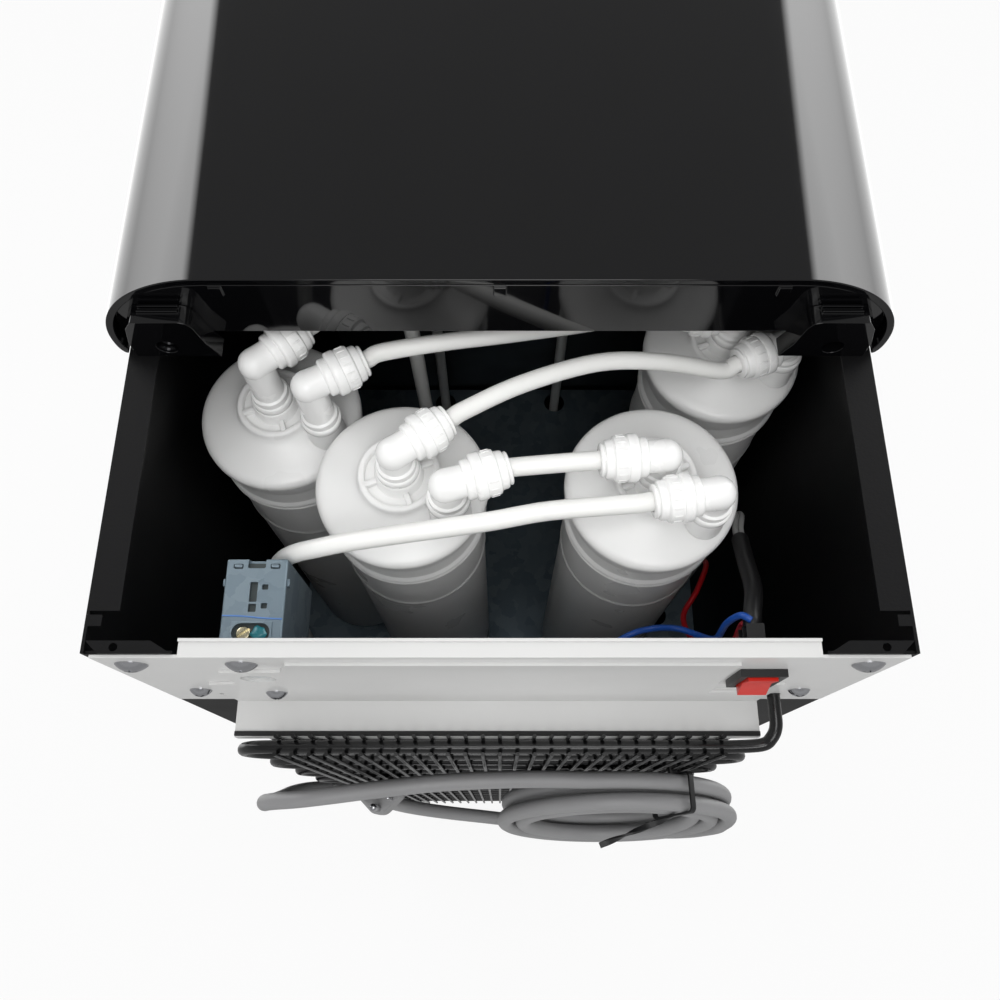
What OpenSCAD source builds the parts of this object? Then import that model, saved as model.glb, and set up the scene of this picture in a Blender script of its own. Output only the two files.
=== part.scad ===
// Bottleless water cooler, floor standing, with its top lid slid forward over the filter bay.
// The origin is on the floor under the middle of the whole cooler with its lid slid open.
// +Z is up and the front faces -Y.
// Depths are counted from the rear plane: back(f) is the place of a point f mm in front of it.

/* [Body] */
// Width of the body across the side panels
body_width = 250; // [246:1:300]
// Depth of the body from the front face to the rear plane
body_depth = 350; // [345:1:420]
// Height of the rim above the floor
rim_height = 1010; // [1000:1:1100]
// Height of the rubber feet
foot_height = 22; // [14:1:40]
// Radius of a rubber foot
foot_radius = 16; // [10:0.5:22]
// Thickness of the casing sheets
sheet = 1; // [0.8:0.1:1.4]
// Width of the inward flange along the rim
rim_flange = 9; // [7:0.5:10]
// Width of the rear return of a side panel
return_width = 27; // [22:0.5:30]
// Depth of the moulded front panels
front_depth = 25; // [18:1:32]
// Wall of the moulded front panels
front_wall = 2.5; // [2:0.1:3.5]

/* [Rear panels] */
// Height of the pale upper panel
upper_panel_height = 84; // [78:1:110]
// Width of the forward flange on top of the upper panel
top_flange_width = 193; // [180:1:194]
// Reach of that flange in front of the rear plane
top_flange_reach = 4.7; // [3:0.1:6]
// Height of the darker lower panel, above the open compressor bay
lower_panel_height = 680; // [660:1:700]
// Diameter of a screw shank
screw_shank = 3.2; // [2.5:0.1:3.4]
// Diameter of a large screw head
screw_head = 10; // [8:0.1:11]
// Diameter of a small screw head
small_screw_head = 7.8; // [6:0.1:9]

/* [Lid] */
// Height of the lid above the rim
lid_height = 34; // [30:0.5:45]
// How far the lid stands out past the body at each side
lid_overhang = 3.5; // [2:0.1:6]
// Wall of the lid
lid_wall = 2.5; // [2:0.1:3]
// Width of a rounded long edge of the lid
lid_round = 36.5; // [28:0.5:40]
// Height of a rounded long edge of the lid
lid_round_height = 25; // [20:0.5:26]
// How far the open lid is slid forward
lid_travel = 101; // [80:1:105]
// Gap between the rear wall of the lid and the rim level
lid_wall_gap = 5; // [4.5:0.1:8]
// Height of a corner block of the lid
block_height = 21; // [16:0.5:24]

/* [Filters] */
// Diameter of a filter cap
cap_diameter = 62; // [56:0.5:62]
// Diameter of a filter housing
housing_diameter = 57; // [50:0.5:58]
// Height of a filter housing
housing_height = 247; // [200:1:260]
// Distance from the middle of a cap to its side port
port_offset = 21; // [19:0.5:22]
// Height of the riser cups under the two rear filters
riser_height = 17; // [10:0.5:20]
// Outer diameter of the water tube
tube_diameter = 6.35; // [5:0.05:6.5]
// Diameter of the locking collar on a quick-connect elbow
collar_diameter = 16.2; // [13:0.1:16.4]
// Length of an elbow from its corner to the mouth of its collet
elbow_length = 21.5; // [20:0.5:24]

/* [Condenser] */
// Diameter of the condenser tube
condenser_tube_diameter = 4.8; // [4:0.1:5]
// Distance between neighbouring condenser passes
pass_pitch = 25.7; // [24:0.1:28]
// Number of condenser passes
pass_count = 17; // [9:2:17]
// Width of the condenser
condenser_width = 200; // [180:1:204]
// Diameter of a condenser wire
wire_diameter = 1.5; // [1:0.1:1.8]
// Distance between neighbouring condenser wires
wire_pitch = 6.3; // [5:0.1:9]
// Depth of the awning over the condenser
awning_depth = 13.5; // [10:0.5:14]

/* [Cooling and heating] */
// Diameter of the cold tank
cold_tank_diameter = 116; // [90:1:120]
// Height of the cold tank
cold_tank_height = 185; // [150:1:190]
// Diameter of the hot tank
hot_tank_diameter = 84; // [70:1:86]
// Height of the hot tank
hot_tank_height = 112; // [90:1:116]
// Wall of the tanks
tank_wall = 0.8; // [0.6:0.1:1.5]
// Depth of the tank shelf under the rim
shelf_drop = 610; // [605:1:630]
// Diameter of the compressor shell
compressor_diameter = 124; // [100:1:130]
// Height of the compressor shell
compressor_height = 165; // [140:1:180]
// Height of a compressor mount
mount_height = 14; // [10:0.5:20]

/* [Dispensing] */
// Height of the dispensing niche
niche_height = 240; // [220:1:250]
// Width of the dispensing niche
niche_width = 200; // [180:1:210]
// Depth of the dispensing niche
niche_depth = 100; // [96:1:102]
// Height of the brow over the niche
brow_height = 180; // [160:1:190]
// Distance of a tap from the middle
tap_offset = 38; // [32:1:50]
// Height of the drip tray
tray_height = 22; // [16:1:30]
// Diameter of the hinge pin of a lever
lever_pin = 5; // [4:0.1:6]

/* [Electrical] */
// Width of the rocker switch bezel
bezel_width = 15; // [14:0.1:15.4]
// Height of the rocker switch bezel
bezel_height = 21; // [20.6:0.1:22]
// Width of the thermostat box
thermostat_width = 20; // [18:0.5:21]
// Depth of the thermostat box
thermostat_depth = 34; // [30:0.5:34]
// Diameter of the power cord
cord_diameter = 7.2; // [6:0.1:7.4]

/* [Hidden] */
$fn = 48;

// Gap between neighbouring pieces that don't touch
clear = 0.3;
// Radial gap of a pin that turns in its hole
pin_gap = 0.05;
eps = 0.01;

side_in = body_width / 2 - sheet;
front_in = body_depth - front_depth;
screw_hole = screw_shank + 0.4;
shelf_height = rim_height - shelf_drop;
bay_height = rim_height - 80 - lower_panel_height;

// Places of the tanks in their foam boxes
cold_box = 160;
cold_f = 98;
cold_z = shelf_height + 24;
hot_box = 118;
hot_f = 252;
hot_z = shelf_height + 18;

// How far the middle of the body lies behind the origin
middle_shift = 39;

function back(f) = body_depth / 2 + middle_shift - f;
function rim(z) = rim_height + z;
// Places across are written for a body that is 248 mm wide inside, and follow its sides
function wide(x) = x * side_in / 124;
thermostat_x = wide(79);
pass_half = condenser_width / 2 - pass_pitch / 2 - condenser_tube_diameter / 2;

// Box between two corners given as [x, depth from the rear plane, z]
module slab(a, b) {
  low = [min(a[0], b[0]), min(back(a[1]), back(b[1])), min(a[2], b[2])];
  high = [max(a[0], b[0]), max(back(a[1]), back(b[1])), max(a[2], b[2])];
  translate(low) cube(high - low);
}

// Cylinder along the depth between two depths, at x and z
module rod_y(x, z, f1, f2, d) {
  translate([x, back(max(f1, f2)), z]) rotate([-90, 0, 0]) cylinder(d = d, h = abs(f2 - f1));
}

// Outline in depth and height, drawn out across the width
module across(x1, x2) {
  translate([x1, 0, 0]) rotate([90, 0, 90]) linear_extrude(x2 - x1) children();
}

// Smooth route through hand-chosen points
function blend_point(p0, p1, p2, p3, s) =
  0.5 * (2 * p1 + (p2 - p0) * s + (2 * p0 - 5 * p1 + 4 * p2 - p3) * s * s
  + (3 * p1 - p0 - 3 * p2 + p3) * s * s * s);
function smooth(p, steps) = concat(
  [for (i = [0:len(p) - 2]) for (s = [0:steps - 1])
    blend_point(p[max(i - 1, 0)], p[i], p[i + 1], p[min(i + 2, len(p) - 1)], s / steps)],
  [p[len(p) - 1]]);

// Sweep of a round section along a route
function unit(v) = v / norm(v);
function heading(p, i) = unit(p[min(i + 1, len(p) - 1)] - p[max(i - 1, 0)]);
function flat_to(v, t) = unit(v - (v * t) * t);
function normals(p, i = 0, n = undef) = i == len(p) ? [] :
  let (t = heading(p, i), m = flat_to(is_undef(n) ? (abs(t[2]) < 0.9 ? [0, 0, 1] : [1, 0, 0]) : n, t))
  concat([m], normals(p, i + 1, m));
module sweep(p, d, sides) {
  side = normals(p);
  rings = [for (i = [0:len(p) - 1]) for (k = [0:sides - 1])
    p[i] + d / 2 * (cos(360 * k / sides) * side[i] + sin(360 * k / sides) * cross(heading(p, i), side[i]))];
  last = (len(p) - 1) * sides;
  walls = [for (i = [0:len(p) - 2]) for (k = [0:sides - 1]) for (half = [0, 1])
    let (a = i * sides + k, b = i * sides + (k + 1) % sides)
    half == 0 ? [a, a + sides, b] : [b, a + sides, b + sides]];
  caps = [for (k = [1:sides - 2]) for (end = [0, 1])
    end == 0 ? [0, k, k + 1] : [last, last + k + 1, last + k]];
  polyhedron(rings, concat(walls, caps));
}

// Casing

module side_panel(x_side) {
  tab = [[side_in + eps, back(3.9)], [body_width / 2 - 20.5, back(3.9)],
    [body_width / 2 - return_width, back(0)], [body_width / 2 - 5, back(0)]];
  mirror([x_side < 0 ? 1 : 0, 0, 0]) color([0.05, 0.05, 0.05]) difference() {
    union() {
      slab([side_in, 0, foot_height], [body_width / 2, front_in, rim_height]);
      slab([side_in - rim_flange, 13, rim(-sheet)], [side_in + eps, front_in, rim_height]);
      slab([body_width / 2 - return_width, 0, foot_height], [side_in + eps, sheet, rim(-sheet)]);
      translate([0, 0, rim(-sheet) - eps]) linear_extrude(sheet + eps) polygon(tab);
      slab([side_in - 4, 8.3, rim(-sheet)], [side_in + eps, 11.8, rim_height]);
    }
    translate([body_width / 2 - 9.6, back(1.9), rim(-5)]) cylinder(d = 2.6, h = 10);
    for (s = corner_screws) rod_y(abs(s[0]), s[1], -1, 3, screw_hole);
    for (z = lower_screws) rod_y(body_width / 2 - 15, z, -1, 3, screw_hole);
    rod_y(feed_x, feed_z, -1, 3, condenser_tube_diameter + 2 * clear);
    rod_y(low_feed_x, low_feed_z, -1, 3, condenser_tube_diameter + 2 * clear);
  }
}
module left_side_panel() { side_panel(-1); }
module right_side_panel() { side_panel(1); }

// Screws of the rear panels as [x, z]
corner_screws = [[-(body_width / 2 - 11), rim(-12)], [body_width / 2 - 11, rim(-12)],
  [-(body_width / 2 - 17), rim(-62)], [body_width / 2 - 17, rim(-62)]];
panel_screw = [thermostat_x + 1, rim(-12)];
channel_screw = [thermostat_x + 1.5, rim(-62)];
lower_screws = [rim(-200), rim(-640)];

// Seat of the rocker switch
switch_x = wide(-84);
switch_z = rim(-30.5);
switch_body_width = bezel_width - 2.6;
switch_body_height = bezel_height - 2.6;

// Where the condenser is fed through the panel
feed_x = max(body_width / 2 - 23.5, pass_half + 12);
feed_z = rim(-72);

module rear_upper_panel() {
  color([0.86, 0.86, 0.85]) difference() {
    union() {
      slab([-side_in + 1, -sheet, rim(-upper_panel_height)], [side_in - 1, 0, rim(-1.6)]);
      slab([-top_flange_width / 2, -sheet, rim(-2)], [top_flange_width / 2, 0, rim(-1.2)]);
      slab([-top_flange_width / 2, -sheet, rim(-1.2 - sheet)], [top_flange_width / 2, top_flange_reach,
        rim(-1.2)]);
      slab([-top_flange_width / 2, top_flange_reach - sheet, rim(-1.2 - eps)],
        [top_flange_width / 2, top_flange_reach, rim(-0.2)]);
    }
    for (s = concat(corner_screws, [panel_screw, channel_screw])) rod_y(s[0], s[1], -3, 3, screw_hole);
    for (side = [-1, 1]) rod_y(side * feed_x, feed_z, -3, 3, condenser_tube_diameter + 2 * clear);
    slab([switch_x - switch_body_width / 2 - clear, -3, switch_z - switch_body_height / 2 - clear],
      [switch_x + switch_body_width / 2 + clear, 3, switch_z + switch_body_height / 2 + clear]);
    rod_y(thermostat_x + 1, rim(-33), -3, 3, 10);
    slab([switch_x + 8, -3, rim(-60)], [switch_x - 2, 3, rim(-52)]);
  }
}

// Inlet and cord outlet in the lower panel
inlet_x = body_width / 2 - return_width - 18;
inlet_z = shelf_height - 100;
outlet_x = body_width / 2 - return_width - 12;
outlet_z = rim_height - 650;

module rear_lower_panel() {
  color([0.2, 0.2, 0.21]) difference() {
    union() {
      slab([-side_in + 0.5, sheet, bay_height], [side_in - 0.5, 2 * sheet, rim(-80)]);
      for (x = [-60, 60])
        slab([x - 6, 2 * sheet - eps, condenser_low + 12],
          [x + 6, condenser_f + wire_offset + wire_diameter / 2 + 0.1, condenser_low + 14]);
    }
    for (x = [-60, 60]) slab([x - 5, -30, condenser_low + 4], [x + 5, 3, condenser_low + 11.9]);
    for (side = [-1, 1]) for (z = lower_screws) rod_y(side * (body_width / 2 - 15), z, -1, 3, screw_hole);
    rod_y(inlet_x, inlet_z, -1, 3, 12 + 2 * clear);
    rod_y(outlet_x, outlet_z, -1, 3, 14 + 2 * clear);
    rod_y(low_feed_x, low_feed_z, -1, 3, condenser_tube_diameter + 2 * clear);
    for (row = [0:5]) for (x = [-45, 15])
      slab([x - 15, -1, bay_height + 25 + 14 * row], [x + 45 - 30, 3, bay_height + 29 + 14 * row]);
  }
}

module base_pan() {
  lip = 20;
  color([0.62, 0.63, 0.64]) difference() {
    slab([-side_in + clear, sheet + clear, foot_height], [side_in - clear, front_in, foot_height + lip]);
    slab([-side_in + clear + 1.5, sheet + clear + 1.5, foot_height + 1.5],
      [side_in - clear - 1.5, front_in - 1.5, foot_height + lip + 1]);
  }
}

module feet() {
  for (x = [-1, 1]) for (f = [30, front_in - 25]) color([0.08, 0.08, 0.08])
    translate([x * (body_width / 2 - 25), back(f), 0]) rotate_extrude() polygon([
      [0, 0], [foot_radius - 2, 0], [foot_radius, 3], [foot_radius, foot_height - 3],
      [foot_radius - 1.5, foot_height], [0, foot_height]]);
}

brow_low = rim_height - brow_height;
niche_low = brow_low - niche_height;
niche_back = body_depth - niche_depth;
frame_low = niche_low - 15;

module front_shell(z1, z2) {
  slab([-body_width / 2, front_in, z1], [body_width / 2, body_depth, z2]);
}
module front_hollow(z1, z2) {
  slab([-body_width / 2 + front_wall, front_in - 1, z1], [body_width / 2 - front_wall,
    body_depth - front_wall, z2]);
}

lock_z = brow_low + 22;
lock_radius = 6;

module front_fascia() {
  color([0.03, 0.03, 0.035]) difference() {
    front_shell(brow_low + clear, rim_height);
    front_hollow(brow_low - 1, rim_height - front_wall);
    rod_y(-tap_offset, lock_z, body_depth - 10, body_depth + 5, 2 * (lock_radius + clear));
  }
}

module alcove_liner() {
  color([0.1, 0.1, 0.11]) difference() {
    union() {
      front_shell(frame_low, brow_low);
      slab([-niche_width / 2 - 2, niche_back - 2, niche_low - 2], [niche_width / 2 + 2, body_depth,
        brow_low]);
    }
    slab([-niche_width / 2, niche_back, niche_low], [niche_width / 2, body_depth + 1, brow_low - 2]);
    for (side = [-1, 1])
      slab([side * (niche_width / 2 + 4), front_in - 1, frame_low + 2],
        [side * (body_width / 2 - 2), body_depth - front_wall, brow_low - 2]);
    for (x = [-tap_offset, tap_offset])
      translate([x, back(tap_f), brow_low - 5]) cylinder(d = 8.4, h = 10);
  }
}

module lower_front_panel() {
  color([0.05, 0.05, 0.055]) difference() {
    front_shell(foot_height, frame_low - clear);
    front_hollow(foot_height + front_wall, frame_low - clear - front_wall);
  }
}

// Lid. Its outline is given at the side, half of it, from the rim up to the flat top.

lid_low = clear;
lid_widest = lid_height - lid_round_height;
lid_rear = 101.5;
lid_rear_top = 107.5;
lid_length = body_depth + 2 + lid_travel;
lid_steps = 12;

function lid_half(inset) = concat(
  [for (i = [0:4]) [body_width / 2 - inset + lid_overhang * sin(90 * i / 4),
    lid_low + (lid_widest - lid_low) * (1 - cos(90 * i / 4))]],
  [for (i = [1:lid_steps]) [
    body_width / 2 + lid_overhang - lid_round + (lid_round - inset) * cos(90 * i / lid_steps),
    lid_widest + (lid_round_height - inset) * sin(90 * i / lid_steps)]]);
module lid_outline(inset, skirt) {
  right = lid_half(inset);
  count = len(right);
  left = [for (i = [count - 1:-1:0]) [-right[i][0], right[i][1]]];
  polygon(concat([[right[0][0], lid_low - skirt]], right, left, [[-right[0][0], lid_low - skirt]]));
}
module along_depth(f1, f2) {
  translate([0, back(f1), rim_height]) rotate([90, 0, 0]) linear_extrude(f2 - f1) children();
}

module top_lid() {
  nose = 12;
  front = lid_length;
  color([0.02, 0.02, 0.022]) intersection() {
    difference() {
      along_depth(lid_rear - 1, front) lid_outline(0, 0);
      along_depth(lid_rear - 2, front - lid_wall) lid_outline(lid_wall, 1);
    }
    across(-body_width, body_width) translate([0, rim_height]) difference() {
      polygon([[back(lid_rear), -1], [back(lid_rear_top), lid_height + 1], [back(front + 1), lid_height + 1],
        [back(front + 1), -1]]);
      difference() {
        translate([back(front + 2), lid_height - nose]) square([nose + 2, nose + 2]);
        translate([back(front) + nose, lid_height - nose]) circle(r = nose);
      }
    }
  }
}

wall_f = 107.3;
wall_thickness = 2;

module lid_rear_wall() {
  color([0.015, 0.015, 0.018]) {
    intersection() {
      along_depth(wall_f, wall_f + wall_thickness) lid_outline(lid_wall + 0.1, 0);
      slab([-body_width, wall_f - 1, rim(lid_wall_gap)], [body_width, wall_f + 5, rim(lid_height)]);
    }
    for (x = [-88, 0, 88]) slab([x - 2, wall_f - 0.8, rim(lid_height - lid_wall - 5)],
      [x + 2, wall_f + eps, rim(lid_height - lid_wall - 0.6)]);
  }
}

module lid_corner_blocks() {
  inner = body_width / 2 - 31.5;
  outline = [[inner, lid_low], [body_width / 2 - 3, lid_low], [body_width / 2 - 3, 8],
    [body_width / 2 - 5.2, block_height - 4], [body_width / 2 - 8, block_height],
    [inner + 8.5, block_height], [inner + 6, block_height - 1], [inner + 4.6, block_height - 3.4],
    [inner + 3, 8]];
  for (side = [0, 1]) mirror([side, 0, 0]) color([0.03, 0.03, 0.03]) difference() {
    union() {
      along_depth(100.5, wall_f) polygon(outline);
      for (i = [0, 1]) slab([inner + 8.5, wall_f - 3.4 + 1.9 * i, rim(block_height - eps)],
        [body_width / 2 - 10, wall_f - 2.4 + 1.9 * i, rim(block_height + 1.2)]);
    }
    rod_y(body_width / 2 - 15, rim(6), 99, 105, 7);
  }
}

runner_x = side_in - rim_flange - 0.5 - 2.5;
// Height inside the lid over the outer edge of a runner
runner_rise = let (across = (runner_x + 2.5 - body_width / 2 - lid_overhang + lid_round) / (lid_round - lid_wall))
  lid_widest + (lid_round_height - lid_wall) * sqrt(1 - across * across) - 0.3;
module lid_runners() {
  for (side = [0, 1]) mirror([side, 0, 0]) color([0.06, 0.06, 0.06]) {
    slab([runner_x, 112, rim(-4)], [runner_x + 2.5, front_in - 25, rim(runner_rise)]);
    slab([runner_x, 112, rim(-4)], [side_in - 5, front_in - 25, rim(-1.6)]);
  }
}

// Filters as [x, depth, height of the cap under the rim, side port angle, elbow axis under the rim]

// A front filter stands so far in front of a rear one that their middles stay the same distance apart
function in_front(depth, x1, x2, apart) = depth + sqrt(apart * apart - pow(wide(x1) - wide(x2), 2));
filters = [
  [wide(85), in_front(67, 85, 35, 61.6), 50, 155, 9],
  [wide(35), 67, 50 - riser_height, 147, 4.5],
  [wide(-54), 66, 50 - riser_height, 141, 4.5],
  [wide(-88.5), in_front(66, -88.5, -54, 73.6), 50, 150, 25]
];
// Headings of the middle and the side elbow of each filter
elbow_headings = [[219.5, 208], [214, 197], [4, 7.5], [-6, 24]];
deck_z = rim_height - 50 - housing_height - 3;

module filter_housing(spot) {
  r = housing_diameter / 2;
  low = rim_height - spot[2] - 3 - housing_height;
  color([0.93, 0.93, 0.93]) translate([spot[0], back(spot[1]), low]) rotate_extrude() polygon([
    [0, 0], [r - 8, 0], [r - 2.5, 2.5], [r, 8], [r, housing_height - 24],
    [r + 1.1, housing_height - 22], [r + 1.1, housing_height - 18], [r, housing_height - 16],
    [r, housing_height], [0, housing_height]]);
}
module filter_1() { filter_housing(filters[0]); }
module filter_2() { filter_housing(filters[1]); }
module filter_3() { filter_housing(filters[2]); }
module filter_4() { filter_housing(filters[3]); }

port_height = 15;
boss_radius = 14.2;

module filter_cap(spot) {
  r = cap_diameter / 2;
  translate([spot[0], back(spot[1]), rim_height - spot[2]]) difference() {
    union() {
      rotate_extrude() polygon([[0, -3], [r - 1.5, -3], [r, -1.5], [r, 0], [r - 0.8, 1.7], [r - 2.4, 2.9],
        [r - 4.8, 3.6], [boss_radius + 3, 7.7], [boss_radius + 0.6, 9], [boss_radius, 12], [0, 12]]);
      cylinder(r = 8, h = port_height);
      rotate([0, 0, spot[3]]) translate([port_offset, 0, 0]) cylinder(r = 6.5, h = port_height);
    }
    difference() {
      translate([0, 0, 9.5]) cylinder(r = boss_radius - 2.2, h = 5);
      translate([0, 0, 9]) cylinder(r = 8, h = 6);
      for (a = [20, 110]) rotate([0, 0, a]) translate([-boss_radius, -1, 9]) cube([2 * boss_radius, 2, 6]);
    }
  }
}
module filter_caps() {
  for (spot = filters) color([0.95, 0.95, 0.95]) filter_cap(spot);
}

// Place of one port of a filter, the middle one or the side one
function port_xy(spot, side) = [
  spot[0] + side * port_offset * cos(spot[3]),
  back(spot[1]) + side * port_offset * sin(spot[3])];
collet_bore = tube_diameter + 0.5;

elbow_arm_radius = 5.5;
// Rings along an elbow's arm as [distance before the mouth, length, how far short of the collar's radius]
elbow_rings = [[15.6, 3.1, 1.3], [12.6, 3.7, 0], [9, 4.6, 0.4], [4.5, 3.1, 1.6], [1.5, 1.5, 2.4]];
module elbow(rise, heading) {
  r = collar_diameter / 2;
  difference() {
    union() {
      cylinder(r = r - 0.6, h = 3.4);
      translate([0, 0, 3.4 - eps]) cylinder(r = r - 1.4, h = min(3.2, rise - 8));
      cylinder(r = elbow_arm_radius, h = rise);
      translate([0, 0, rise]) sphere(r = elbow_arm_radius + 0.6);
      translate([0, 0, rise]) rotate([0, 90, heading]) {
        cylinder(r = elbow_arm_radius, h = elbow_length - 0.8);
        for (ring = elbow_rings) translate([0, 0, elbow_length - ring[0]]) cylinder(r = r - ring[2],
          h = ring[1]);
      }
    }
    translate([0, 0, rise]) rotate([0, 90, heading]) translate([0, 0, 9]) cylinder(d = collet_bore, h = 30);
  }
}
module elbow_fittings() {
  for (i = [0:3]) for (side = [0, 1]) {
    spot = filters[i];
    xy = port_xy(spot, side);
    color([0.97, 0.97, 0.97]) translate([xy[0], xy[1], rim_height - spot[2] + port_height])
      elbow(spot[2] - port_height - spot[4], elbow_headings[i][side]);
  }
}

// Point on the axis of an elbow's mouth, r mm from its corner
function mouth(i, side, r) = let (xy = port_xy(filters[i], side), a = elbow_headings[i][side])
  [xy[0] + r * cos(a), xy[1] + r * sin(a), rim_height - filters[i][4]];
tube_in = elbow_length - 5;
// The tube runs straight through the collet before it bends
function leave(i, side) = [for (r = [-5, 1, 7]) mouth(i, side, elbow_length + r)];
function enter(i, side) = [for (r = [7, 1, -5]) mouth(i, side, elbow_length + r)];
// Point given as [x, depth, height over the rim]
function spot(x, f, z) = [wide(x), back(f), rim(z)];

module water_tube(points) { color([0.93, 0.93, 0.92]) sweep(smooth(points, 3), tube_diameter, 12); }

supply_route = concat(leave(2, 1), [
  spot(-16, 47, -5), spot(2, 44, -6), spot(17, 42, -7), spot(34, 40, -8.5), spot(49, 38.5, -11),
  spot(60, 37.6, -15), spot(68, 37.9, -21), spot(74, 38.8, -30), spot(79, 40, -42), spot(83, 41.3, -58),
  spot(87, 43, -80), spot(91, 44, -110), spot(95, 43, -160), spot(98, 40, -220), spot(99, 33, -290),
  spot(99, 26, -340), spot(98, 20, -390), spot(98, 18, -450), [wide(98), back(18), shelf_height + 40],
  [wide(98), back(17), shelf_height - 20], [wide(90), back(17), shelf_height - 45], [inlet_x, back(17),
    inlet_z + 38],
  [inlet_x, back(17), inlet_z + 24]]);
module supply_tube() { water_tube(supply_route); }
module filter_tube_1() {
  water_tube([mouth(2, 0, tube_in), mouth(2, 0, elbow_length), mouth(1, 1, elbow_length), mouth(1, 1,
    tube_in)]);
}
module filter_tube_2() {
  water_tube(concat(leave(1, 0), [spot(-8, 93, -5), spot(-34, 103, -8.5), spot(-58, 107.5, -16)],
    enter(3, 1)));
}
module filter_tube_3() {
  water_tube(concat(leave(3, 0), [spot(-26, 123, -17), spot(0, 116, -12), spot(20, 112, -10)], enter(0, 1)));
}
feed_top = cold_z + cold_tank_height;
module tank_feed_tube() {
  water_tube(concat(leave(0, 0), [spot(48, 138, -13), spot(40, 144, -27),
    spot(37, 146, -50), spot(36, 146, -120), spot(35, 146, -200), spot(33, 145, -270), spot(26, 141, -310),
    [14, back(134), feed_top + 56], [10, back(132), feed_top + 34], [10, back(132), feed_top + 8]]));
}

module filter_deck() {
  color([0.3, 0.3, 0.31]) difference() {
    union() {
      slab([-side_in + clear, 2 * sheet + clear, deck_z - 1.5], [side_in - clear, niche_back - 4, deck_z]);
      for (side = [-1, 1]) slab([side * (side_in - clear), 2 * sheet + clear, deck_z - 14],
        [side * (side_in - clear - 1.5), niche_back - 4, deck_z - 1]);
      for (i = [1, 2]) translate([filters[i][0], back(filters[i][1]), deck_z - eps])
        cylinder(r = housing_diameter / 2 - 1.5, h = riser_height + eps);
    }
    for (i = [1, 2]) translate([filters[i][0], back(filters[i][1]), deck_z - 3])
      cylinder(r = housing_diameter / 2 - 3, h = riser_height + 1.5);
    for (hole = [[wide(99), 31.5], [wide(30), 143], [wide(-99.5), 84], [wide(-24), 10], [tap_offset,
      tap_hose_f],
      [-tap_offset, tap_hose_f]])
      translate([hole[0], back(hole[1]), deck_z - 5]) cylinder(d = 14, h = 10);
    slab([-94, 0, deck_z - 3], [-110, 16, deck_z + 1]);
  }
}

module tank_shelf() {
  color([0.62, 0.63, 0.64]) difference() {
    union() {
      slab([-side_in + clear, 2 * sheet + clear, shelf_height - 1.5],
        [side_in - clear, front_in - clear, shelf_height]);
      for (side = [-1, 1]) slab([side * (side_in - clear), 2 * sheet + clear, shelf_height - 14],
        [side * (side_in - clear - 1.5), front_in - clear, shelf_height - 1]);
    }
    for (hole = [[wide(98), 17.5, 14], [96, cold_f, 12], [-94, cold_f, 8]])
      translate([hole[0], back(hole[1]), shelf_height - 5]) cylinder(d = hole[2], h = 10);
    slab([-86, 0, shelf_height - 3], [-112, 26, shelf_height + 1]);
  }
}

// Screws

module dome(d, h) {
  r = (d * d / 4 + h * h) / (2 * h);
  intersection() {
    translate([0, 0, h - r]) sphere(r = r);
    cylinder(d = 2 * d, h = 2 * h);
  }
}
module screw(x, z, seat, d, shank) {
  translate([x, back(seat), z]) rotate([-90, 0, 0]) difference() {
    union() {
      dome(d, 2.5);
      translate([0, 0, -shank]) cylinder(d = screw_shank, h = shank + 0.5);
    }
    for (a = [0, 90]) rotate([0, 0, a]) translate([-2.2, -0.45, 1.3]) cube([4.4, 0.9, 3]);
  }
}
module panel_screws() {
  color([0.75, 0.75, 0.76]) {
    for (i = [0, 1]) screw(corner_screws[i][0], corner_screws[i][1], -sheet, screw_head, 6);
    for (i = [2, 3]) screw(corner_screws[i][0], corner_screws[i][1], -sheet, small_screw_head, 6);
    screw(panel_screw[0], panel_screw[1], -sheet, screw_head, 4);
    screw(channel_screw[0], channel_screw[1], -2 * sheet, small_screw_head, 6);
    for (side = [-1, 1]) for (z = lower_screws) screw(side * (body_width / 2 - 15), z, 0,
      small_screw_head, 6);
  }
}

// Condenser

awning_low = rim_height - 83;
condenser_f = -19.5;
wire_offset = (condenser_tube_diameter + wire_diameter) / 2 + 0.05;
first_pass_z = rim_height - 77;
condenser_low = first_pass_z - (pass_count - 1) * pass_pitch;
low_feed_x = pass_half + 10.5;
low_feed_z = condenser_low - 6;

module condenser_channel() {
  right = body_width / 2 - 25;
  left = 27 - body_width / 2;
  // Outline of the flange on the panel, seen from the front
  flange = [[right, -83], [right, -45], [thermostat_x + 11, -43], [thermostat_x + 11, -22],
    [thermostat_x - 9, -21], [thermostat_x - 13, -9], [switch_x + 10, -9], [switch_x + 10, -43],
    [left, -45], [left, -83]];
  color([0.86, 0.86, 0.85]) difference() {
    union() {
      translate([0, back(-sheet), rim_height]) rotate([90, 0, 0]) mirror([0, 0, 1]) linear_extrude(sheet)
        polygon(flange);
      slab([left, -sheet, awning_low], [right, -2 * sheet - awning_depth + 1, awning_low + sheet]);
      slab([left, -sheet - awning_depth, awning_low - 4], [right, -2 * sheet - awning_depth,
        awning_low + sheet]);
    }
    rod_y(channel_screw[0], channel_screw[1], -5, 0, screw_hole);
    rod_y(thermostat_x + 1, rim(-33), -5, 0, 11.5);
    slab([switch_x + 9, -5, rim(-61)], [switch_x - 3, 0, rim(-51)]);
  }
}

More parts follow.
